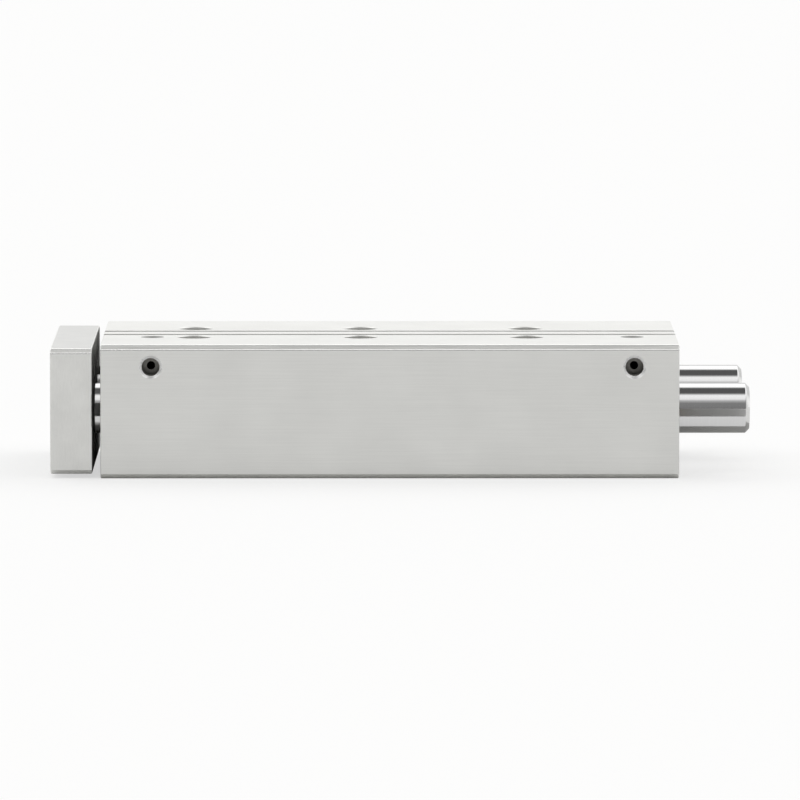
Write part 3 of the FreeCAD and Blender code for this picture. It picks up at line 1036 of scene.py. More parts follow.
@dataclass
class Housing:
    """The bored bar that carries everything."""

    chamfer: float = 1.1
    end_break: float = 0.3
    glint: float = 0.26
    bore_radius: float = 8.0
    seat_lead: float = 0.4
    guide_lead: float = 0.25
    slot_side: float = 4.4
    slot_radius: float = 2.1
    slot_depth: float = 4.4
    slot_mouth: float = 2.8
    slot_break: float = 0.12
    mount_places: tuple[float, ...] = (47.0, 7.0, -33.0)
    mount_radius: float = 2.15
    counterbore_radius: float = 4.0
    counterbore_depth: float = 4.6
    hole_break: float = 0.2
    port: Thread = Thread(core=2.15, pitch=0.8, depth=5.2, flare=0.65, turns=5)
    port_up: float = 26.7
    gallery_radius: float = 1.0
    gallery_angle: float = 60.0
    gallery_overlap: float = 0.2
    rear_thread: Thread = Thread(core=1.65, pitch=0.7, depth=7.5, flare=0.4, turns=8)
    rear_thread_side: float = 14.0
    rear_thread_up: float = 11.0

    def bar(self) -> Piece:
        """The chamfered bar before boring.

        Returns:
            The coated bar.
        """
        low = place(LAYOUT.rear, -LAYOUT.half_width, 0.0)
        high = place(LAYOUT.front, LAYOUT.half_width, LAYOUT.height)
        return profile_block("bored_housing", low, high, self.chamfer, self.end_break, self.glint, ANODISED)

    def seat_outline(self, face: float, inward: float, floor: float) -> list[tuple[float, float]]:
        """One cap seat, from outside the end face to the bore.

        Args:
            face: The end face's place along X.
            inward: 1 or -1, the way into the housing.
            floor: The seat floor's place along X.

        Returns:
            Corners as (place along X, radius).
        """
        groove = face + inward * LAYOUT.ring_setback
        groove_end = groove + inward * LAYOUT.ring_groove
        mouth = LAYOUT.seat_radius + self.seat_lead
        return [
            (face - inward * CLEAR, mouth),
            (face, mouth),
            (face + inward * self.seat_lead, LAYOUT.seat_radius),
            (groove, LAYOUT.seat_radius),
            (groove, LAYOUT.ring_radius),
            (groove_end, LAYOUT.ring_radius),
            (groove_end, LAYOUT.seat_radius),
            (floor, LAYOUT.seat_radius),
            (floor, self.bore_radius),
        ]

    def piston_bore(self) -> Piece:
        """The tool for the bore, both cap seats and their ring grooves.

        Returns:
            The closed tool.
        """
        outline = [(LAYOUT.rear - CLEAR, 0.0)]
        outline += self.seat_outline(LAYOUT.rear, 1.0, LAYOUT.rear_seat)
        outline += reversed(self.seat_outline(LAYOUT.front, -1.0, LAYOUT.front_seat))
        outline.append((LAYOUT.front + CLEAR, 0.0))
        return lathe("bore_tool", outline)

    def guide_bore(self, side: float) -> Piece:
        """The tool for one guide bore with a small lead at each end.

        Args:
            side: The bore's place along Y.

        Returns:
            The closed tool.
        """
        radius, lead = LAYOUT.guide_bore, self.guide_lead
        outline = [
            (LAYOUT.rear - CLEAR, 0.0),
            (LAYOUT.rear - CLEAR, radius + lead),
            (LAYOUT.rear, radius + lead),
            (LAYOUT.rear + lead, radius),
            (LAYOUT.front - lead, radius),
            (LAYOUT.front, radius + lead),
            (LAYOUT.front + CLEAR, radius + lead),
            (LAYOUT.front + CLEAR, 0.0),
        ]
        return lathe("guide_tool", outline, side, steps=112)

    def slot_tools(self, side: float) -> list[Piece]:
        """The tools for one sensor slot: a round channel and its narrower mouth.

        Args:
            side: The slot's place along Y.

        Returns:
            The two coated tools.
        """
        middle = LAYOUT.height - self.slot_depth + self.slot_radius
        rear, front = LAYOUT.rear - CLEAR, LAYOUT.front + CLEAR
        low = place(rear, side - self.slot_mouth / 2, middle)
        high = place(front, side + self.slot_mouth / 2, LAYOUT.height + CLEAR)
        channel = bar_tool(self.slot_radius, rear, front, place(0.0, side, middle), FORWARD, steps=48)
        return [coat(channel, ANODISED), coat(block("mouth_tool", low, high), ANODISED)]

    def mounting_hole(self, x: float, side: float) -> Piece:
        """The tool for one counterbored through hole.

        Args:
            x: The hole's place along X.
            side: The hole's place along Y.

        Returns:
            The closed tool.
        """
        wide, narrow, bottom = self.counterbore_radius, self.mount_radius, LAYOUT.height
        outline = [
            (-CLEAR, 0.0),
            (-CLEAR, wide + self.hole_break + CLEAR),
            (self.hole_break, wide),
            (self.counterbore_depth, wide),
            (self.counterbore_depth, narrow),
            (bottom - self.hole_break, narrow),
            (bottom + CLEAR, narrow + self.hole_break + CLEAR),
            (bottom + CLEAR, 0.0),
        ]
        return turn("mount_tool", outline, place(x, side, LAYOUT.height), -UP)

    def port_mouths(self, x: float) -> tuple[Vector, Vector]:
        """The middles of a side port's mouth and of the mouth of the top port beside it, in metres."""
        return place(x, LAYOUT.half_width, self.port_up), place(x, LAYOUT.mount_side, LAYOUT.height)

    def galleries(self, x: float) -> list[Piece]:
        """The tools that join a side port and the top port beside it to the bore.

        Args:
            x: The ports' place along X.

        Returns:
            The coated tools.
        """
        side_mouth, top_mouth = self.port_mouths(x)
        angle = math.radians(self.gallery_angle)
        start = side_mouth - TO_PORTS * self.port.depth * MM
        outwards = TO_PORTS * math.cos(angle) + UP * math.sin(angle)
        wall = LAYOUT.axis(along=x) + outwards * self.bore_radius * MM
        into = (wall - start).normalized()
        reach = (wall - start).length / MM + self.gallery_radius
        meeting = start + into * ((top_mouth.y - start.y) / into.y)
        drop = (top_mouth.z - meeting.z) / MM
        drills = [
            bar_tool(self.gallery_radius, -self.gallery_overlap, reach, start, into, steps=32),
            bar_tool(self.gallery_radius, -self.gallery_overlap, drop, meeting, UP, steps=32),
        ]
        # The galleries take the same painted shade as the tapped holes.
        return [coat(drill, TAPPED_SHADE) for drill in drills]

    def break_slots(self, piece: Piece) -> None:
        """Breaks the lips of the sensor slots.

        Args:
            piece: The bored housing.
        """
        half = self.slot_mouth / 2

        def is_lip(first: Vector, second: Vector) -> bool:
            """Whether an edge is a slot's lip.

            Args:
                first: One end of the edge.
                second: Its other end.

            Returns:
                True for a lip.
            """
            runs = abs(first.x - second.x) > CLEAR
            high = min(first.z, second.z) > LAYOUT.height - TOUCH
            sides = (abs(abs(point.y) - self.slot_side) for point in (first, second))
            return runs and high and all(abs(side - half) < TOUCH for side in sides)

        with editing(piece):
            bevel_edges(piece, is_lip, self.slot_break, rounds=2)

    def build(self) -> None:
        """Bores the bar and hands it over."""
        piece = self.bar()
        holes = [[coat(self.piston_bore(), HONED)]]
        for way in (-1.0, 1.0):
            holes.append([coat(self.guide_bore(way * LAYOUT.guide_side), HONED)])
            holes.append(self.slot_tools(way * self.slot_side))
            for x in self.mount_places:
                holes.append([coat(self.mounting_hole(x, way * LAYOUT.mount_side), ANODISED)])
            for up in (-self.rear_thread_up, self.rear_thread_up):
                mouth = LAYOUT.axis(way * self.rear_thread_side, LAYOUT.rear, up)
                holes.append(self.rear_thread.tools(mouth, FORWARD))
        for x in LAYOUT.port_places:
            side_mouth, top_mouth = self.port_mouths(x)
            holes.append(self.port.tools(side_mouth, -TO_PORTS))
            # The closed ports' leads are painted darker, as the shade in these hollows.
            holes.append(self.port.tools(top_mouth, -UP, SHADED_LEAD))
        cut_holes(piece, holes)
        for x in LAYOUT.port_places:
            cut(piece, self.galleries(x))
        self.break_slots(piece)
        mill_ends(piece)
        hand_over(piece, Body.HOUSING, ANODISED, "housing")


@dataclass
class Caps:
    """What closes the bore: the bearing cap with its seal, the rear cap, and their retaining rings."""

    edge: float = 0.1
    rim: float = 0.4
    setback: float = 2.3
    groove_floor: float = 8.44
    groove_half: float = 1.0
    buffer_inner: float = 5.0
    buffer_outer: float = 6.8
    buffer_depth: float = 1.2
    nose_gap: float = 0.2
    nose_break: float = 0.15
    nose_radius: float = 5.9
    seal_seat: float = 5.2
    seal_length: float = 4.2
    seal_sink: float = 0.3
    lip_fit: float = 0.05
    bush_seat: float = 4.9
    bush_length: float = 5.0
    rod_relief: float = 4.3
    dish_radius: float = 6.73
    dish_depth: float = 0.8
    ring_thickness: float = 1.0
    ring_band: float = 1.8
    ring_gap: float = 46.0
    lug_radius: float = 1.45
    lug_inset: float = 0.3
    lug_hole: float = 0.65

    def body(self, inner: float, outer: float) -> list[tuple[float, float]]:
        """A cap's outside, from the buffer's recess over the seal groove to the outer face.

        Args:
            inner: The inner face's place along X.
            outer: The outer face's place along X.

        Returns:
            Corners as (place along X, radius).
        """
        way = math.copysign(1.0, outer - inner)
        fit, radius = LAYOUT.seat_fit, LAYOUT.seat_radius - LAYOUT.seat_fit
        first = (inner + outer) / 2 - way * self.groove_half
        last = (inner + outer) / 2 + way * self.groove_half
        recess = inner + way * self.buffer_depth
        return [
            (inner, self.buffer_inner - fit),
            (recess, self.buffer_inner - fit),
            (recess, self.buffer_outer + fit),
            (inner, self.buffer_outer + fit),
            (inner, radius - self.rim),
            (inner + way * self.rim, radius),
            (first, radius),
            (first, self.groove_floor),
            (last, self.groove_floor),
            (last, radius),
            (outer - way * self.rim, radius),
            (outer, radius - self.rim),
        ]

    def nose_tip(self) -> float:
        """Where the bearing cap's nose ends, just short of the plate."""
        return LAYOUT.plate_in - self.nose_gap

    def bearing_cap(self) -> Piece:
        """The front cap, with a nose that holds the rod's seal.

        Returns:
            The cap.
        """
        tip = self.nose_tip()
        outer = LAYOUT.front - self.setback
        bush_end = tip - self.seal_sink - self.seal_length
        bush_start = bush_end - self.bush_length
        outline = self.body(LAYOUT.front_seat, outer) + [
            (outer, self.nose_radius),
            (tip - self.nose_break, self.nose_radius),
            (tip, self.nose_radius - self.nose_break),
            (tip, self.seal_seat),
            (bush_end, self.seal_seat),
            (bush_end, self.bush_seat),
            (bush_start, self.bush_seat),
            (bush_start, self.rod_relief),
            (LAYOUT.front_seat, self.rod_relief),
        ]
        return soften(lathe("bearing_cap", outline), self.edge)

    def closing_cap(self) -> Piece:
        """The rear cap, dished outside.

        Returns:
            The cap.
        """
        outer = LAYOUT.rear + self.setback
        floor = outer + self.dish_depth
        dish = [(outer, self.dish_radius), (floor, self.dish_radius - self.dish_depth), (floor, 0.0)]
        outline = [(LAYOUT.rear_seat, 0.0)] + self.body(LAYOUT.rear_seat, outer) + dish
        return soften(lathe("closing_cap", outline), self.edge)

    def rod_seal(self) -> Piece:
        """The rod's seal, with a wiping lip outside and a sealing lip inside.

        Returns:
            The seal.
        """
        end = self.nose_tip() - self.seal_sink
        start = end - self.seal_length
        outer, lip = self.seal_seat - LAYOUT.seat_fit, LAYOUT.rod_radius + self.lip_fit
        waist = (LAYOUT.rod_radius + self.seal_seat) / 2
        step = self.seal_length / 6
        outline = [
            (start, outer),
            (end, outer),
            (end, lip),
            (end - step / 2, lip),
            (end - 2 * step, waist),
            (start + 2 * step, waist),
            (start + step, lip),
            (start, lip + step / 2),
        ]
        return soften(lathe("rod_lip_seal", outline, steps=96), self.edge)

    def snap_ring(self, name: str, face: float, inward: float) -> Piece:
        """A retaining ring, open at the bottom, with an eye at each end for the pliers.

        Args:
            name: The ring's name.
            face: The end face's place along X.
            inward: 1 or -1, the way into the housing.

        Returns:
            The ring, in its groove.
        """
        half = self.ring_thickness / 2
        middle = LAYOUT.axis(along=face + inward * (LAYOUT.ring_setback + LAYOUT.ring_groove / 2))
        outer = LAYOUT.ring_radius - LAYOUT.seat_fit
        inner = outer - self.ring_band
        outline = [(-half, inner), (-half, outer), (half, outer), (half, inner)]
        ring = turn(name, outline, middle, FORWARD, steps=120)
        angle = math.radians(self.ring_gap / 2)
        edge = Vector((0.0, math.sin(angle), -math.cos(angle)))
        corners = [Vector(), edge * 2 * outer, Vector((0.0, -edge.y, edge.z)) * 2 * outer, Vector()]
        wedge = draw_chain("wedge_tool", [middle + (corner - FORWARD * CLEAR) * MM for corner in corners])
        apply_modifier(wedge, "SOLIDIFY", thickness=0.0)
        reach = (outer - self.lug_inset - self.lug_radius) * MM
        eyes = [middle + Vector((0.0, way * edge.y, edge.z)) * reach for way in (-1.0, 1.0)]
        cut(ring, [wedge])
        cut(ring, [bar_tool(self.lug_radius, -half, half, eye, FORWARD, steps=40) for eye in eyes], Work.JOIN)
        cut(ring, [bar_tool(self.lug_hole, -CLEAR, CLEAR, eye, FORWARD, steps=28) for eye in eyes])
        return soften(ring, self.edge)

    def build(self) -> None:
        """Makes the caps, the seal and the rings and hands them over."""
        hand_over(self.bearing_cap(), Body.HOUSING, TURNED_ALUMINIUM, "front_bearing_cap")
        hand_over(self.closing_cap(), Body.HOUSING, TURNED_ALUMINIUM, "rear_end_cap")
        hand_over(self.rod_seal(), Body.HOUSING, SEAL_URETHANE, "rod_seal")
        front = self.snap_ring("snap_ring_front", LAYOUT.front, -1.0)
        rear = self.snap_ring("snap_ring_rear", LAYOUT.rear, 1.0)
        hand_over(front, Body.HOUSING, PHOSPHATED, "front_retaining_ring")
        hand_over(rear, Body.HOUSING, PHOSPHATED, "rear_retaining_ring")


@dataclass
class Guides:
    """The bushes and wipers that the guide rods run in."""

    bush_length: float = 18.0
    bush_rim: float = 0.4
    bush_edge: float = 0.1
    running_fit: float = 0.03
    rear_sink: float = 0.6
    wiper_length: float = 3.0
    wiper_sink: float = 0.2
    wiper_lip: float = 0.7
    wiper_root: float = 7.0
    wiper_edge: float = 0.07
    lip_fit: float = 0.05

    def bush(self, name: str, start: float, side: float) -> Piece:
        """A plain bearing with broken rims.

        Args:
            name: The bush's name.
            start: Its rear end's place along X.
            side: Its place along Y.

        Returns:
            The bush.
        """
        inner, outer = LAYOUT.guide_radius + self.running_fit, LAYOUT.guide_bore - LAYOUT.seat_fit
        outline = broken_bar(start, start + self.bush_length, inner, outer, self.bush_rim)
        return soften(lathe(name, outline, side, steps=112), self.bush_edge)

    def wiper(self, name: str, side: float) -> Piece:
        """A ring with a lip that wipes its rod, and a drain groove round the lip.

        Args:
            name: The wiper's name.
            side: Its place along Y.

        Returns:
            The wiper.
        """
        end = LAYOUT.front - self.wiper_sink
        start = end - self.wiper_length
        outer, lip = LAYOUT.guide_bore - LAYOUT.seat_fit, LAYOUT.guide_radius + self.lip_fit
        root, deep = self.wiper_root, self.wiper_lip
        outline = [
            (start, outer),
            (start, root),
            (end - 2 * deep, root),
            (end - deep, lip),
            (end, lip),
            (end, root),
            (end - deep / 2, root + deep / 2),
            (end, outer),
        ]
        return soften(lathe(name, outline, side, steps=112), self.wiper_edge)

    def build(self) -> None:
        """Makes the pieces of both guides and hands them over."""
        front = LAYOUT.front - self.wiper_sink - self.wiper_length - self.bush_length
        rear = LAYOUT.rear + self.rear_sink
        for name, side in SIDES:
            hand_over(self.wiper("wiper_" + name, side), Body.HOUSING, SEAL_URETHANE, "guide_wiper_" + name)
            for end, start in (("front_", front), ("rear_", rear)):
                bush = self.bush("bush_" + end + name, start, side)
                hand_over(bush, Body.HOUSING, BRONZE, "guide_bush_" + end + name)


@dataclass
class Plugs:
    """The set screws that close the two top ports."""

    radius: float = 2.13
    length: float = 4.0
    sink: float = 0.8
    rim: float = 0.35
    hexagon: float = 2.5
    hexagon_depth: float = 2.0
    edge: float = 0.06

    def plug(self, name: str, x: float) -> Piece:
        """A set screw with a hexagon socket.

        Args:
            name: The plug's name.
            x: Its place along X.

        Returns:
            The plug, in its port.
        """
        top = place(x, LAYOUT.mount_side, LAYOUT.height - self.sink)
        piece = turn(name, broken_bar(0.0, self.length, 0.0, self.radius, self.rim), top, -UP)
        cut(piece, [hexagon_tool(self.hexagon, top, -UP, self.hexagon_depth)])
        return soften(piece, self.edge)

    def build(self) -> None:
        """Makes both plugs and hands them over."""
        for name, x in zip(("front", "rear"), LAYOUT.port_places):
            hand_over(self.plug("plug_" + name, x), Body.HOUSING, BLACKENED, "port_plug_" + name)


@dataclass(frozen=True)
class ScrewSize:
    """Sizes of a hexagon socket screw."""

    shank: float
    head: float
    height: float
    hexagon: float
    hexagon_depth: float


GUIDE_SCREW = ScrewSize(shank=2.08, head=4.25, height=5.0, hexagon=4.0, hexagon_depth=2.5)
ROD_SCREW = ScrewSize(shank=1.63, head=3.5, height=4.0, hexagon=3.0, hexagon_depth=2.0)


@dataclass
class YokePlate:
    """The plate that joins the rods, with the screws that hold them."""

    inset: float = 1.0
    chamfer: float = 1.0
    end_break: float = 0.3
    glint: float = 0.24
    head_sink: float = 0.4
    head_room: float = 0.35
    shank_room: float = 0.32
    mouth_break: float = 0.25
    socket_depth: float = 2.0
    load: Thread = Thread(core=2.15, pitch=0.8, depth=11.0, flare=0.5, turns=11)
    load_up: float = 9.0
    screw_reach: float = 9.0
    head_break: float = 0.35
    head_round: float = 0.3  # share of the break that its rounding takes
    foot_break: float = 0.15
    tip_break: float = 0.3
    socket_lead: float = 0.06
    knurl_depth: float = 0.12
    knurl_teeth: int = 40

    def head_tool(self, size: ScrewSize, side: float) -> Piece:
        """The tool for a screw's counterbore and clearance hole.

        Args:
            size: The screw's sizes.
            side: Its place along Y.

        Returns:
            The closed tool.
        """
        wide = size.head + self.head_room
        narrow = size.shank + self.shank_room
        floor = self.head_sink + size.height
        through = LAYOUT.plate_out - LAYOUT.plate_in + CLEAR
        outline = [
            (-CLEAR, 0.0),
            (-CLEAR, wide + self.mouth_break + CLEAR),
            (self.mouth_break, wide),
            (floor, wide),
            (floor, narrow),
            (through, narrow),
            (through, 0.0),
        ]
        return turn("head_tool", outline, LAYOUT.axis(side, LAYOUT.plate_out), -FORWARD, steps=80)

    def rod_tools(self, size: ScrewSize, radius: float, side: float) -> list[Piece]:
        """The tools for a screw's holes and for the shallow socket that locates its rod.

        Args:
            size: The screw's sizes.
            radius: The radius of the rod's end.
            side: Their place along Y.

        Returns:
            The coated tools, in cutting order.
        """
        mouth = LAYOUT.axis(side, LAYOUT.plate_in)
        socket = bar_tool(radius + LAYOUT.seat_fit, -CLEAR, self.socket_depth, mouth, FORWARD, steps=96)
        return [coat(self.head_tool(size, side), TUMBLED), coat(socket, TUMBLED)]

    def load_tools(self, side: float, up: float) -> list[Piece]:
        """The coated tools, in cutting order, for one load hole, threaded and countersunk on both faces."""
        # Both countersinks take the painted light that lifts the hollow's shade.
        inner = cone_tool(self.load.core + self.load.flare, LAYOUT.axis(side, LAYOUT.plate_in, up), FORWARD)
        return [coat(inner, LIT_LEAD)] + self.load.tools(LAYOUT.axis(side, LAYOUT.plate_out, up), -FORWARD)

    def plate(self) -> Piece:
        """The plate with all its holes.

        Returns:
            The coated plate.
        """
        half = LAYOUT.half_width - self.inset
        low = place(LAYOUT.plate_in, -half, self.inset)
        high = place(LAYOUT.plate_out, half, LAYOUT.height - self.inset)
        piece = profile_block("front_plate", low, high, self.chamfer, self.end_break, self.glint, TUMBLED)
        holes = [self.rod_tools(ROD_SCREW, LAYOUT.rod_radius, 0.0)]
        for way in (-1.0, 1.0):
            holes.append(self.rod_tools(GUIDE_SCREW, LAYOUT.neck_radius, way * LAYOUT.guide_side))
            for up in (-self.load_up, self.load_up):
                holes.append(self.load_tools(way * LAYOUT.mount_side, up))
        cut_holes(piece, holes)
        mill_ends(piece)

        def is_inner(middle: Vector, normal: Vector) -> bool:
            """Whether a face belongs to the face towards the housing."""
            return normal.x < -FACING and middle.x < LAYOUT.plate_in + TOUCH

        def is_broad(middle: Vector, normal: Vector) -> bool:
            """Whether a face belongs to the top or the underside."""
            return abs(normal.z) > FACING and min(middle.z - low.z / MM, high.z / MM - middle.z) < TOUCH

        # The inner face is painted dark as the shade of the narrow gap by the housing.
        coat_faces(piece, GAP_SHADE, is_inner)
        coat_faces(piece, PLATE_BROAD_FACE, is_broad)
        return piece

    def screw(self, name: str, size: ScrewSize, side: float) -> Piece:
        """A socket screw with a knurled head.

        Args:
            name: The screw's name.
            size: Its sizes.
            side: The place of its axis along Y.

        Returns:
            The screw, in the plate.
        """
        top = LAYOUT.axis(side, LAYOUT.plate_out - self.head_sink)
        length = LAYOUT.plate_out - self.head_sink - LAYOUT.rod_front + self.screw_reach
        rim, foot, tip = self.head_break, self.foot_break, self.tip_break
        outline = [
            (0.0, 0.0),
            (0.0, size.head - rim),
            (rim * self.head_round, size.head - rim * self.head_round),
            (rim, size.head),
            (size.height - foot, size.head),
            (size.height, size.head - foot),
            (size.height, size.shank),
            (length - tip, size.shank),
            (length, size.shank - tip),
            (length, 0.0),
        ]
        piece = coat(turn(name, outline, top, -FORWARD, steps=2 * self.knurl_teeth), ZINC)
        self.knurl(piece, size, side)
        # The hexagon socket is painted darker, as the shade inside it.
        socket = coat(hexagon_tool(size.hexagon, top, -FORWARD, size.hexagon_depth), SOCKET_SHADE)
        lead = coat(cone_tool(size.hexagon / 2 + self.socket_lead, top, -FORWARD), ZINC)
        cut(piece, [socket, lead])
        return piece

    def knurl(self, piece: Piece, size: ScrewSize, side: float) -> None:
        """Draws every second line of the head's side inwards, which leaves straight teeth.

        Args:
            piece: The turned screw.
            size: Its sizes.
            side: The place of its axis along Y.
        """
        with editing(piece):
            bpy.ops.mesh.select_mode(type="VERT")
            mesh = bmesh.from_edit_mesh(piece.data)
            centre = LAYOUT.axis(side)
            for vertex in mesh.verts:
                away = (vertex.co - centre) / MM
                step = round(math.atan2(away.y, away.z) / math.pi * self.knurl_teeth)
                if abs(math.hypot(away.y, away.z) - size.head) < TOUCH and step % 2:
                    vertex.select_set(True)
            bmesh.update_edit_mesh(piece.data)
            share = 1.0 - self.knurl_depth / size.head
            bpy.ops.transform.resize(value=(1.0, share, share), center_override=centre)

    def build(self) -> None:
        """Makes the plate and its three screws and hands them over."""
        hand_over(self.plate(), Body.CARRIAGE, TUMBLED, "yoke_plate")
        for name, side in SIDES:
            screw = self.screw("guide_screw_" + name, GUIDE_SCREW, side)
            hand_over(screw, Body.CARRIAGE, ZINC, "guide_rod_screws")
        hand_over(self.screw("rod_screw", ROD_SCREW, 0.0), Body.CARRIAGE, ZINC, "piston_rod_screw")


@dataclass
class Rods:
    """The two chromed guide rods and the piston rod."""

    guide_tail: float = -86.0
    guide_chamfer: float = 1.0
    chamfer_round: float = 0.12
    front_break: float = 0.3
    tap_depth: float = 12.0
    guide_tap: float = 2.1
    rod_tap: float = 1.65
    centre_radius: float = 1.4
    spigot_radius: float = 2.0
    shoulder: float = -44.25
    spigot_tail: float = -58.25

    def guide(self, name: str, side: float) -> Piece:
        """A guide rod with a centre drilling in its rear end and a neck in the plate.

        Args:
            name: The rod's name.
            side: The place of its axis along Y.

        Returns:
            The rod.
        """
        radius, tail, front = LAYOUT.guide_radius, self.guide_tail, LAYOUT.rod_front
        neck = LAYOUT.neck_radius
        outline = [
            (tail + self.centre_radius, 0.0),
            (tail, self.centre_radius),
            (tail, radius - self.guide_chamfer),
            (tail + self.guide_chamfer, radius),
            (LAYOUT.plate_in - radius + neck, radius),
            (LAYOUT.plate_in, neck),
            (front - self.front_break, neck),
            (front, neck - self.front_break),
            (front, self.guide_tap),
            (front - self.tap_depth, self.guide_tap),
            (front - self.tap_depth, 0.0),
        ]
        rod = soften(lathe(name, outline, side, steps=160), self.chamfer_round, rounds=3)
        coat(rod, HARD_CHROME)

        def is_faced(middle: Vector, normal: Vector) -> bool:
            """Whether a face belongs to the rear end or its chamfer."""
            return middle.x < tail + self.guide_chamfer - self.chamfer_round

        coat_faces(rod, FACED_STEEL, is_faced)
        return rod

    def piston_rod(self) -> Piece:
        """The piston rod, stepped down to the spigot that carries the piston.

        Returns:
            The rod.
        """
        radius, front, lead = LAYOUT.rod_radius, LAYOUT.rod_front, self.front_break
        outline = [
            (self.spigot_tail, 0.0),
            (self.spigot_tail, self.spigot_radius - lead),
            (self.spigot_tail + lead, self.spigot_radius),
            (self.shoulder, self.spigot_radius),
            (self.shoulder, radius),
            (front - lead, radius),
            (front, radius - lead),
            (front, self.rod_tap),
            (front - self.tap_depth, self.rod_tap),
            (front - self.tap_depth, 0.0),
        ]
        return lathe("drive_rod", outline)

    def build(self) -> None:
        """Makes the three rods and hands them over."""
        for name, side in SIDES:
            rod = self.guide("chromed_rod_" + name, side)
            hand_over(rod, Body.CARRIAGE, HARD_CHROME, "guide_rod_" + name)
        hand_over(self.piston_rod(), Body.CARRIAGE, STAINLESS, "piston_rod")


@dataclass(frozen=True)
class KeptPieces:
    """The CAD pieces inside the bore, whose shape is right as it is, by finish."""

    finishes: tuple[tuple[Finish, tuple[str, ...]], ...] = (
        (TURNED_ALUMINIUM, ("piston_rear_half", "piston_front_half")),
        (NITRILE, ("front_cap_o_ring", "rear_cap_o_ring", "piston_static_seal")),
        (BUFFER_URETHANE, ("front_buffer", "rear_buffer")),
        (BRONZE, ("rod_bush",)),
        (SEAL_URETHANE, ("piston_seal_rear", "piston_seal_front")),
        (ACETAL, ("piston_guide_ring",)),
        (FERRITE, ("piston_magnet",)),
        (ZINC, ("piston_nut",)),
    )

    def dress(self) -> None:
        """Coats each piece."""
        for finish, names in self.finishes:
            for name in names:
                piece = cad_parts[name]
                piece.data.materials.clear()
                coat(piece, finish)
                log.info("%s: kept, %s", name, finish.name)


# Studio

# Cards that the metal reflects: even and dull.
GREY_CARD = Finish(
    name="grey_card",
    colour="#B2B2B0",
    shade="#AAAAA8",
    roughness=0.9,
    swing=0.02,
    mark_width=0.5,
    mark_depth=0.002,
    drift=6.0,
    metallic=0.0,
)
PALE_CARD = replace(GREY_CARD, name="pale_card", colour="#E7E7E6", shade="#E1E1E0")


@dataclass(frozen=True)
class Card:
    """A thin card between two corners."""

    name: str
    finish: Finish
    low: tuple[float, float, float]
    high: tuple[float, float, float]

    def build(self) -> None:
        """Puts the card up. It shows in reflections alone."""
        card = block(self.name, place(*self.low), place(*self.high))
        coat(card, self.finish)
        card.visible_camera = False
        card.visible_diffuse = False
        card.visible_shadow = False
        card.visible_transmission = False


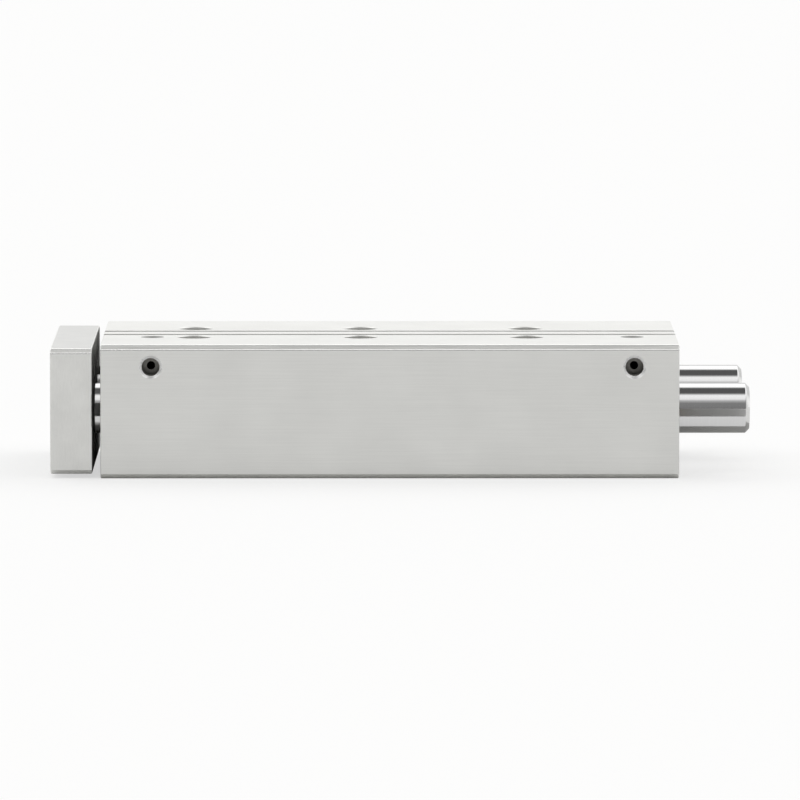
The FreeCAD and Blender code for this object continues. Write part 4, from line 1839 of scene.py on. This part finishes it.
@dataclass
class Studio:
    """A pale floor under a soft sky of light panels, cards that the metal reflects, and the camera.

    A panel's level goes with the rise of its direction, from 0 at the horizon to 1 overhead. The cards by the
    rods and in the gap draw dark bands on the chrome, and the one under the bar keeps the lower edges dark.
    """

    floor_metres: float = 16.0
    floor_colour: str = "#FBFBFA"
    floor_white: float = 0.6
    front_panels: tuple[tuple[float, float], ...] = (
        (0.0, 0.27),
        (0.45, 0.3),
        (0.62, 0.66),
        (0.71, 1.2),
        (0.9, 1.35),
        (0.95, 0.5),
        (0.975, 0.13),
    )
    back_panels: tuple[tuple[float, float], ...] = (
        (0.0, 0.83),
        (0.45, 0.89),
        (0.52, 1.58),
        (0.88, 1.58),
        (0.93, 0.65),
        (0.955, 0.13),
    )
    side_blend: float = 0.4
    end_panel: tuple[float, float] = (-0.97, -0.8)
    end_level: float = 1.9
    cards: tuple[Card, ...] = (
        Card("card_before_rods", PALE_CARD, (-89.0, 31.0, 12.9), (-69.0, 31.3, 16.4)),
        Card("card_in_gap", PALE_CARD, (69.1, 32.4, 12.2), (70.9, 32.7, 19.8)),
        Card("card_under_rods", GREY_CARD, (-104.0, -27.6, 0.3), (-69.5, 27.6, 0.6)),
        Card("card_under_bar", PALE_CARD, (-69.0, -35.0, 0.02), (81.0, 35.0, 0.05)),
    )
    target: tuple[float, float, float] = (-2.416, 33.0, 18.861)
    distance: float = 2138.1
    pitch: float = 5.5717
    yaw: float = 0.1810
    lens: float = 403.89
    sensor: float = 36.0
    clip_metres: float = 20.0

    def paper(self) -> bpy.types.Material:
        """The floor's matt paper: part lit and, to the camera and in reflections, part plain white.

        Returns:
            The material.
        """
        made = bpy.data.materials.new("matt_paper")
        made.use_nodes = True
        made.cycles.emission_sampling = "NONE"
        tree = made.node_tree
        tree.nodes.clear()
        paper = {"Base Color": linear(self.floor_colour), "Roughness": 0.9, "Specular IOR Level": 0.1}
        lit = add_node(tree, "ShaderNodeBsdfPrincipled", paper)
        white = add_node(tree, "ShaderNodeEmission", {"Color": linear("#FFFFFF"), "Strength": 1.0})
        path = add_node(tree, "ShaderNodeLightPath")
        seen = path.outputs["Is Camera Ray"]
        for ray in ("Is Glossy Ray", "Is Transmission Ray"):
            rays = {0: seen, 1: path.outputs[ray]}
            seen = add_node(tree, "ShaderNodeMath", {"operation": "MAXIMUM"}, rays).outputs[0]
        share = add_node(tree, "ShaderNodeMath", {"operation": "MULTIPLY", 1: self.floor_white}, {0: seen})
        links = {0: share.outputs[0], 1: lit.outputs["BSDF"], 2: white.outputs["Emission"]}
        mixed = add_node(tree, "ShaderNodeMixShader", None, links)
        add_node(tree, "ShaderNodeOutputMaterial", None, {"Surface": mixed.outputs["Shader"]})
        return made

    def floor(self) -> None:
        """Lays the floor."""
        bpy.ops.object.select_all(action="DESELECT")
        bpy.ops.mesh.primitive_plane_add(size=self.floor_metres, location=(0.0, 0.0, 0.0))
        floor = bpy.context.object
        floor.name = "floor"
        floor.data.materials.append(self.paper())

    def sky(self) -> None:
        """Hangs the light: a bright ring of panels, darker overhead and, in front, towards the horizon.

        One more panel stands by the rods' free ends.
        """
        world = bpy.data.worlds.new("studio")
        bpy.context.scene.world = world
        world.use_nodes = True
        tree = world.node_tree
        tree.nodes.clear()
        direction = add_node(tree, "ShaderNodeTexCoord").outputs["Generated"]
        parts = add_node(tree, "ShaderNodeSeparateXYZ", None, {"Vector": direction})
        skies = []
        for panels in (self.back_panels, self.front_panels):
            ramp = add_node(tree, "ShaderNodeValToRGB", None, {"Fac": parts.outputs["Z"]})
            set_stops(ramp, [(rise, (level, level, level, 1.0)) for rise, level in panels])
            skies.append(ramp.outputs["Color"])
        reach = self.side_blend
        blend = {"From Min": -reach, "From Max": reach, "interpolation_type": "SMOOTHSTEP"}
        facing = add_node(tree, "ShaderNodeMapRange", blend, {"Value": parts.outputs["Y"]})
        links = {"Fac": facing.outputs[0], "Color1": skies[0], "Color2": skies[1]}
        both = add_node(tree, "ShaderNodeMixRGB", None, links)
        full, none = self.end_panel
        levels = {"From Min": full, "From Max": none, "To Min": self.end_level, "To Max": 1.0}
        strength = add_node(tree, "ShaderNodeMapRange", levels, {"Value": parts.outputs["X"]})
        inputs = {"Color": both.outputs["Color"], "Strength": strength.outputs[0]}
        light = add_node(tree, "ShaderNodeBackground", None, inputs)
        add_node(tree, "ShaderNodeOutputWorld", None, {"Surface": light.outputs["Background"]})

    def camera(self) -> None:
        """Sets up the camera at the photograph's angle."""
        pitch, yaw = math.radians(self.pitch), math.radians(self.yaw)
        back = Vector((math.sin(yaw) * math.cos(pitch), math.cos(yaw) * math.cos(pitch), math.sin(pitch)))
        spot = place(*self.target) + back * self.distance * MM
        turned = (-back).to_track_quat("-Z", "Y").to_euler()
        bpy.ops.object.camera_add(location=spot, rotation=turned)
        camera = bpy.context.object
        camera.data.lens = self.lens
        camera.data.sensor_width = self.sensor
        camera.data.clip_end = self.clip_metres
        bpy.context.scene.camera = camera

    def build(self) -> None:
        """Makes the whole studio."""
        self.floor()
        self.sky()
        for card in self.cards:
            card.build()
        self.camera()
        bpy.context.scene.view_settings.view_transform = "Standard"


def main() -> None:
    """Builds the sub-assemblies in order, dresses what is kept and sets up the studio."""
    logging.basicConfig(level=logging.INFO, format="%(name)s: %(message)s")
    for assembly in (Housing(), Caps(), Guides(), Plugs(), YokePlate(), Rods()):
        assembly.build()
    KeptPieces().dress()
    Studio().build()


if __name__ == "__main__":
    main()
